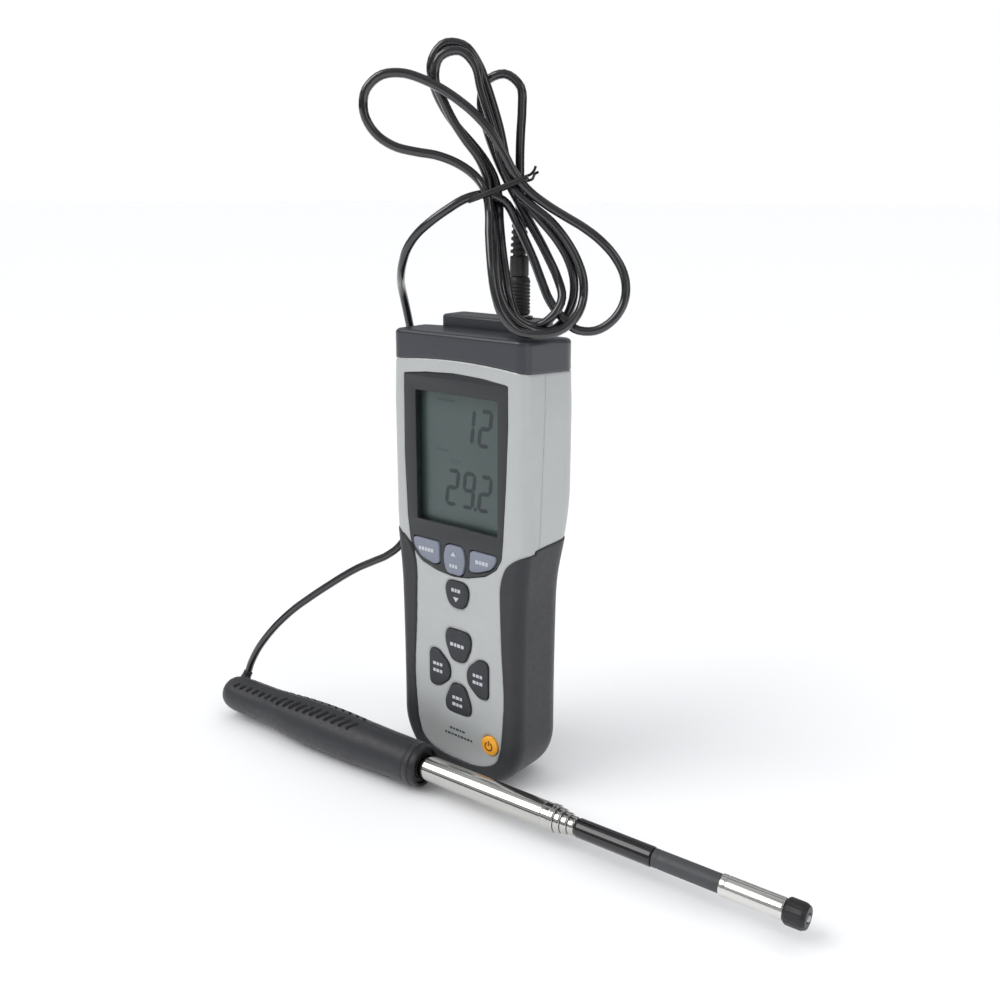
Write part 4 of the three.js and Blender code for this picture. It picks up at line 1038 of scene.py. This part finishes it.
# ------------------------------------------------------------------ plug, strain relief, tie
prof = [(213.0, 0.01), (213.0, 4.5), (213.9, 4.75)]
for z in np.arange(214.8, 226.0, 1.5):  # fine grip rings
    prof += [(z, 4.75), (z + 0.25, 4.45), (z + 0.65, 4.45), (z + 0.9, 4.75)]
prof += [(227.0, 4.75), (228.2, 4.3), (229.0, 3.7), (229.0, 0.01)]
dress(lathe("plug_grip", fillet(prof, 0.18, 2), "plug", 56), "black_plastic", "plug", ["plug_body"])
prof = [(229.2, 0.01), (229.2, 4.05), (236.0, 4.0)]
for i, z in enumerate(np.arange(237.4, 252.5, 2.6)):  # tapered boot with flex grooves
    r = 3.95 - 0.055 * (z - 237)
    prof += [(z, r), (z + 0.15, 2.75), (z + 1.15, 2.7), (z + 1.3, r - 0.05)]
prof += [(254.6, 2.9), (256.5, 2.5), (256.5, 1.86)]
dress(lathe("cord_boot", fillet(prof, 0.3, 2), "plug", 48), "black_plastic", "plug", ["strain_relief"])

TIE = np.array([12.6, 1.9, 265.7])
AX = np.array([0.272, 0.219, -0.937]); AX /= np.linalg.norm(AX)
t1 = np.array([math.cos(0.679), math.sin(0.679), 0.0]); t1 -= AX * (t1 @ AX); t1 /= np.linalg.norm(t1)
t2 = np.cross(AX, t1)
near = route[np.abs((route - TIE) @ AX) < 2.4]
near = near[np.linalg.norm(near - TIE, axis=1) < 16]
circ = np.linspace(0, 2 * np.pi, 24, endpoint=False)
pts = np.array([[(q - TIE) @ t1 + (CORD_D / 2 + 0.75) * math.cos(a), (q - TIE) @ t2 + (CORD_D / 2 + 0.75) * math.sin(a)] for q in near for a in circ])


def hull(p):
    p = p[np.lexsort((p[:, 1], p[:, 0]))]

    def half(seq):
        h = []
        for q in seq:
            while len(h) > 1 and (h[-1][0] - h[-2][0]) * (q[1] - h[-2][1]) - (h[-1][1] - h[-2][1]) * (q[0] - h[-2][0]) <= 0:
                h.pop()
            h.append(q)
        return h[:-1]
    return np.array(half(p) + half(p[::-1]))


hl = hull(pts)
hl = np.vstack([hl, hl[:1]])
sh = np.concatenate([[0], np.cumsum(np.linalg.norm(np.diff(hl, axis=0), axis=1))])
start = sh[np.argmax(hl[:-1, 0])]
turns = 2.15
ss = start + np.linspace(0, turns * sh[-1], 150)
lo = np.stack([np.interp(np.mod(ss, sh[-1]), sh, hl[:, i]) for i in range(2)], 1)
for _ in range(3):
    lo[1:-1] = 0.25 * lo[:-2] + 0.5 * lo[1:-1] + 0.25 * lo[2:]
off = np.linspace(-1.0, 1.0, len(lo))
wrap = TIE + lo[:, :1] * t1 + lo[:, 1:] * t2 + off[:, None] * AX
end0 = wrap[0]
tail_a = catmull([end0 + t1 * 0.2, end0 + t1 * 1.8 + t2 * 0.3, end0 + t1 * 3.6 - AX * 0.9, end0 + t1 * 5.0 - AX * 2.4], 0.4)
tail_b = catmull([wrap[-1], wrap[-1] + t1 * 1.8 - t2 * 0.6, end0 + t1 * 3.4 + AX * 0.5 + t2 * 0.4, end0 + t1 * 5.2 + AX * 0.2], 0.4)
tie_parts = [tube("tie_w", wrap, 0.62, 10), tube("tie_a", tail_a, 0.58, 10), tube("tie_b", tail_b, 0.58, 10)]
tie = merge("tie_wire", tie_parts, 50)
dress(tie, "black_plastic", "plug", ["twist_tie"])

# ------------------------------------------------------------------ probe handle in two halves
HP = fillet([(0.0, 0.4), (0.25, 3.2), (1.4, 5.9), (3.4, 7.6), (7, 8.7), (14, 9.1), (34, 9.3), (58, 10.8), (74, 11.2), (90, 10.8), (106, 10.25), (130.6, 10.05)], 6, 6)
hs = np.concatenate([[0, 0.15, 0.35, 0.7, 1.2, 1.9, 2.7, 3.6, 4.6, 5.8], np.arange(7.0, 130.4, 0.62), [130.6]])
_c = catmull(np.column_stack([[0.0, 0.5, 1.4, 3.4, 7, 14, 24, 34, 46, 58, 74, 90, 106, 131], [0.3, 3.7, 5.9, 7.6, 8.7, 9.1, 9.15, 9.3, 10.15, 10.85, 11.2, 10.85, 10.25, 10.0], np.zeros(14)]), 0.3)
hr = np.interp(hs, _c[:, 0], _c[:, 1])
SLOTS = [(11.5 + 4.7 * i, 121.0, 1.75) for i in range(7)] + [(45.0 + 4.75 * i, 119.0 - 0.55 * i, 3.3) for i in range(11)]


def handle_dent(s, phi, r):
    """depth below the plain form: slanted slots along the ridge, on a shallow channel, and their mirror on the far side"""
    d = np.zeros_like(s)
    for mirror in (0, 1):
        ph = np.degrees(phi)
        ph = np.mod(ph, 360)
        ph = np.where(mirror, np.mod(180 - ph, 360), ph)
        # channel
        cen = 121 - 0.07 * np.clip(s - 12, 0, 90)
        arc = np.radians(ph - cen) * r
        half = np.where(s < 42, 2.4, 4.2)
        ch = smoothstep(8, 11, s) * (1 - smoothstep(96, 100, s)) * (1 - smoothstep(half - 0.4, half + 0.7, np.abs(arc)))
        d = np.maximum(d, 0.16 * ch)
        for s0, c0, hl_ in SLOTS:
            a = np.radians(ph - c0) * r
            m = (np.abs(s - s0) < 7) & (np.abs(a) < 7)
            if not m.any():
                continue
            ca, sa = math.cos(math.radians(52)), math.sin(math.radians(52))
            x1 = (s[m] - s0) * ca + a[m] * sa * -1
            x2 = (s[m] - s0) * sa + a[m] * ca
            along = np.maximum(np.abs(x1) - hl_ + 0.7, 0)
            dist = np.sqrt(along ** 2 + x2 ** 2)
            d[m] = np.maximum(d[m], 1.5 * (1 - smoothstep(0.55, 1.08, dist)))
    return d


def handle_half(name, sgn):
    """sgn -1: camera side (y < 0 in the probe's frame), +1: far side"""
    na = 84
    a0 = 90.0 if sgn < 0 else -90.0
    ph = np.radians(a0 + np.linspace(0, 180, na + 1))
    S, Pn = np.meshgrid(hs, ph, indexing="ij")
    R = np.repeat(hr[:, None], na + 1, 1).copy()
    # a little fuller below on the swell
    belly = smoothstep(36, 60, S) * (1 - smoothstep(96, 125, S))
    R += belly * 0.35 * np.clip(-np.sin(Pn + 0.5 * (1 if sgn < 0 else -1)), 0, 1)
    R = np.minimum(R, 11.35)
    R -= handle_dent(S, Pn, R)
    # parting groove at the split, thumb ridge, front rim
    edge = np.minimum(np.abs(Pn - ph[0]), np.abs(ph[-1] - Pn)) * R
    R -= 0.22 * np.exp(-(edge / 0.35) ** 2)
    R -= 0.30 * np.exp(-((S - 127.2) / 0.5) ** 2)
    R -= 0.7 * smoothstep(129.6, 130.6, S) ** 2
    Y = np.cos(Pn) * R
    Z = np.sin(Pn) * R
    Y = np.where(sgn < 0, np.minimum(Y, -0.06), np.maximum(Y, 0.06))
    out = np.stack([S, Y, Z], -1)
    # inner surface: solid behind, bored from s = 24.5, wider at the mouth
    ri = np.where(hs < 24.5, 0.25, np.where(hs < 126, 6.1, 8.0))
    ri = np.minimum(ri, hr * 0.6) if False else np.where(hs < 24.5, np.minimum(0.25, hr * 0.5), ri)
    Ri = np.repeat(ri[:, None], na + 1, 1)
    Yi = np.cos(Pn) * Ri
    Yi = np.where(sgn < 0, np.minimum(Yi, -0.06), np.maximum(Yi, 0.06))
    inn = np.stack([S, Yi, np.sin(Pn) * Ri], -1)
    # outer and inner surfaces, joined by walls along the split and at both ends, close the loop
    m, w = S.shape
    v = np.vstack([out.reshape(-1, 3), inn.reshape(-1, 3)])
    idx = lambda i, j, k: k * m * w + i * w + j
    faces = []
    for i in range(m - 1):
        for j in range(w - 1):
            faces.append((idx(i, j, 0), idx(i, j + 1, 0), idx(i + 1, j + 1, 0), idx(i + 1, j, 0)))
            faces.append((idx(i, j, 1), idx(i + 1, j, 1), idx(i + 1, j + 1, 1), idx(i, j + 1, 1)))
        for j in (0, w - 1):
            q = (idx(i, j, 0), idx(i + 1, j, 0), idx(i + 1, j, 1), idx(i, j, 1))
            faces.append(q if j == 0 else q[::-1])
    for i in (0, m - 1):
        for j in range(w - 1):
            q = (idx(i, j, 0), idx(i, j, 1), idx(i, j + 1, 1), idx(i, j + 1, 0))
            faces.append(q if i == 0 else q[::-1])
    return new_object(name, probe_to_row(v), faces, 38)


near_half = handle_half("handle_half_near", -1)
far_half = handle_half("handle_half_far", 1)
# hole for the cord in the far half
gd = np.array([0, math.sin(0.66), math.cos(0.66)])
g0 = np.array([7.0, 0, 0])
hole = tube("hole", probe_to_row(np.array([g0 + gd * 4.8, g0 + gd * 8, g0 + gd * 14])), 2.9, 28)
far_half = boolean(far_half, [hole], "DIFFERENCE")
finish_mesh(far_half, 38, weld=1e-6, outward=False)
dress(near_half, "handle_rubber", METER, ["handle_near"])
# recess for the screw on the far side
rec = tube("rec", probe_to_row(np.array([[16, 5.6, -2], [16, 8, -2], [16, 14, -2]])), 2.7, 28)
far_half = boolean(far_half, [rec], "DIFFERENCE")
finish_mesh(far_half, 38, weld=1e-6, outward=False)
dress(far_half, "handle_rubber", METER, ["handle_far"])
rim = lathe("handle_mouth", fillet([(126.4, 7.75), (131.0, 7.75), (133.4, 7.9), (133.4, 9.3), (131.0, 9.75), (130.75, 9.75), (130.75, 8.05), (126.4, 8.05), (126.4, 7.75)], 0.35, 3), "probe", 72)
dress(rim, "black_plastic", METER)
# gland: a short ribbed collar where the cord leaves the handle
gp = [(5.0, 0.01), (5.0, 2.6), (8.9, 2.6), (9.3, 2.6), (9.6, 2.3), (10.0, 2.3), (10.3, 2.55), (10.6, 2.25), (11.0, 2.25), (11.3, 2.5), (11.9, 2.3), (12.4, 1.9), (12.4, 0.01)]
gl = fillet(gp, 0.12, 2)
th = np.linspace(0, 2 * np.pi, 36, endpoint=False)
b1 = np.array([1.0, 0, 0]); b2 = np.cross(gd, b1)
gv = np.array([g0 + gd * s + r * (math.cos(a) * b1 + math.sin(a) * b2) for s, r in gl for a in th])
gf = [(i * 36 + k, i * 36 + (k + 1) % 36, (i + 1) * 36 + (k + 1) % 36, (i + 1) * 36 + k) for i in range(len(gl) - 1) for k in range(36)]
dress(new_object("gland_collar", probe_to_row(gv), gf, 40), "black_plastic", METER, ["cord_gland"])

# ------------------------------------------------------------------ telescope
TR = [5.7, 5.025, 4.35, 3.675, 3.0]
TE = [205.5, 208.5, 211.6, 214.7]
for i in range(4):
    r, inn, s0 = TR[i], TR[i] - 0.45, 26 + 1.4 * i
    a, b = (202.2, TE[0]) if i == 0 else (TE[i - 1] + 0.3, TE[i])
    h = 0.26 if i == 0 else 0.30
    p = [(s0, inn), (s0, r), (a - 0.02, r), (a, r + h), (b - 0.6, r + h), (b, r - 0.12), (b, inn), (s0, inn)]
    if i == 0:  # two fine turned lines ahead of the collar
        p = [(s0, inn), (s0, r), (199.0, r), (199.2, r - 0.16), (199.6, r - 0.16), (199.8, r), (202.18, r), (202.2, r + h), (203.6, r + h), (203.75, r + h - 0.16), (204.1, r + h - 0.16), (204.25, r + h), (b - 0.5, r + h), (b, r - 0.1), (b, inn), (s0, inn)]
    o = lathe("tube_%d_look" % (i + 1), fillet(p, 0.16, 3), "probe", 96, smooth=24)
    dress(o, "chrome", METER if i == 0 else "tele_%d" % (i + 1), ["tube_%d" % (i + 1)])
p = [(215.0, 3.3), (215.0, 3.8), (216.0, 4.1), (231.2, 4.1), (249.6, 4.1), (250.0, 3.9), (250.0, 0.01), (221.0, 0.01), (221.0, 3.3), (215.0, 3.3)]
dress(lathe("stem_look", fillet(p, 0.3, 4), "probe", 80), "gloss_black", "tele_5", ["sensor_stem"])
p = [(250.3, 0.01), (250.3, 3.6), (250.7, 3.75), (252.2, 3.75), (252.4, 3.62), (252.8, 3.62), (253.0, 3.75), (277.0, 3.75), (282.6, 3.75), (283.0, 3.5), (283.0, 0.01)]
dress(lathe("barrel_look", fillet(p, 0.15, 3), "probe", 72), "barrel_grey", "tele_5", ["sensor_barrel"])
p = [(279.0, 3.98), (279.0, 4.22), (279.35, 4.3), (281.0, 4.3), (281.15, 4.2), (281.5, 4.2), (281.65, 4.3), (303.4, 4.3), (304.0, 4.15), (304.0, 3.98), (279.0, 3.98)]
dress(lathe("sleeve_look", fillet(p, 0.12, 3), "probe", 96, smooth=24), "sleeve_bright", "sleeve", ["sensor_sleeve"])
# tip cap: knurled black end with a dished face
tp = fillet([(304.3, 0.01), (304.3, 4.5), (305.2, 5.15), (310.9, 5.15), (312.7, 4.3), (312.7, 1.95), (309.6, 1.95), (309.6, 0.01)], 0.35, 4)
n = 120
v, th = [], np.linspace(0, 2 * np.pi, n, endpoint=False)
flute = 0.5 + 0.5 * np.cos(th * 20)
for s, r in tp:
    k = 0.20 * float(smoothstep(305.0, 305.8, np.array(s))) * float(1 - smoothstep(310.2, 311.2, np.array(s))) if r > 5.0 else 0.0
    rr = r - k * (1 - flute)
    v += list(np.stack([np.full(n, s), rr * np.cos(th), rr * np.sin(th)], 1))
f = [(i * n + k, i * n + (k + 1) % n, (i + 1) * n + (k + 1) % n, (i + 1) * n + k) for i in range(len(tp) - 1) for k in range(n)]
dress(new_object("tip_look", probe_to_row(np.array(v)), f, 34), "black_plastic", "tele_5", ["tip_cap"])
p = [(309.9, 0.01), (309.9, 1.5), (312.5, 1.5), (313.1, 1.15), (313.3, 0.5), (313.3, 0.01)]
dress(lathe("pin_look", fillet(p, 0.25, 3), "probe", 40), "steel", "tele_5", ["tip_pin"])


# ------------------------------------------------------------------ screws, battery door
def screw(name, at, axis, head_r, head_h, shank_r, shank_l, body, node):
    """cross-recess screw: head outwards along axis, its underside at 'at'"""
    ax = np.array(axis, float)
    a = np.array([0, 0, 1.0]) if abs(ax[2]) < 0.9 else np.array([1.0, 0, 0])
    u = np.cross(ax, a); u /= np.linalg.norm(u)
    w = np.cross(ax, u)
    prof = fillet([(-shank_l, 0.01), (-shank_l, shank_r * 0.6), (-shank_l + 1.0, shank_r), (0, shank_r), (0, head_r), (head_h * 0.45, head_r), (head_h * 0.85, head_r * 0.8), (head_h, head_r * 0.4), (head_h, 0.01)], 0.25, 3)
    n = 40
    th = np.linspace(0, 2 * np.pi, n, endpoint=False)
    v = np.array([np.array(at) + ax * s + r * (math.cos(t) * u + math.sin(t) * w) for s, r in prof for t in th])
    f = [(i * n + k, i * n + (k + 1) % n, (i + 1) * n + (k + 1) % n, (i + 1) * n + k) for i in range(len(prof) - 1) for k in range(n)]
    f.append(tuple(range(n))[::-1])
    f.append(tuple((len(prof) - 1) * n + k for k in range(n)))
    o = new_object(name, v, f, 34)
    cross = []
    for p, q in ((u, w), (w, u)):
        c = [np.array(at) + ax * (head_h + s1 * 0.6 if s1 > 0 else head_h - 0.85) + p * s2 * head_r * (0.62 if s1 > 0 else 0.30) + q * s3 * 0.33 for s1 in (-1, 1) for s2 in (-1, 1) for s3 in (-1, 1)]
        cross.append(new_object("x", c, [(0, 1, 3, 2), (4, 6, 7, 5), (0, 4, 5, 1), (2, 3, 7, 6), (0, 2, 6, 4), (1, 5, 7, 3)], 30))
    o = boolean(o, cross, "DIFFERENCE")
    finish_mesh(o, 34, weld=1e-6, outward=False)
    return dress(o, "steel", body, [node])


for i, (bx, bz) in enumerate(BOSS):
    screw("case_screw_look_%d" % (i + 1), (bx, 16.25, bz), (0, 1, 0), 2.55, 1.8, 1.0, 9.5, METER, "case_screw_%d" % (i + 1))
screw("door_screw_look", (0, 14.8, 88.6), (0, 1, 0), 2.45, 1.2, 0.95, 7.0, "battery_cover", "battery_door_screw")
sc_at = probe_to_row(np.array([[16.0, 5.9, -2.0]]))[0]
screw("handle_screw_look", sc_at, (-math.sin(TURN), math.cos(TURN), 0), 2.3, 1.4, 0.95, 4.5, METER, "handle_screw")

door = plate("door_look", rounded(DOOR, 3, 8), [disc(0, 88.6, 1.5, 24)], "y", 13.8, 15.85, 0.45, 3)
cuts = [plate("s", rounded(rect(-9, 9, z, z + 1.7), 0.8, 6), [], "y", 15.15, 16.4, 0.05, 1) for z in (34, 37.5, 41)]
cuts.append(prism("y", disc(0, 88.6, 2.8, 32), 14.7, 20))
door = boolean(door, cuts, "DIFFERENCE")
ridges = []
arrow = prism("y", [[-4, 50], [4, 50], [0, 45.5]], 15.5, 16.15)
door = boolean(door, [arrow], "UNION")
finish_mesh(door, 34, weld=1e-6, outward=False)
dress(door, "door_grey", "battery_cover", ["battery_door"])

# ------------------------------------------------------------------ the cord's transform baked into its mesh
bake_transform(cord)
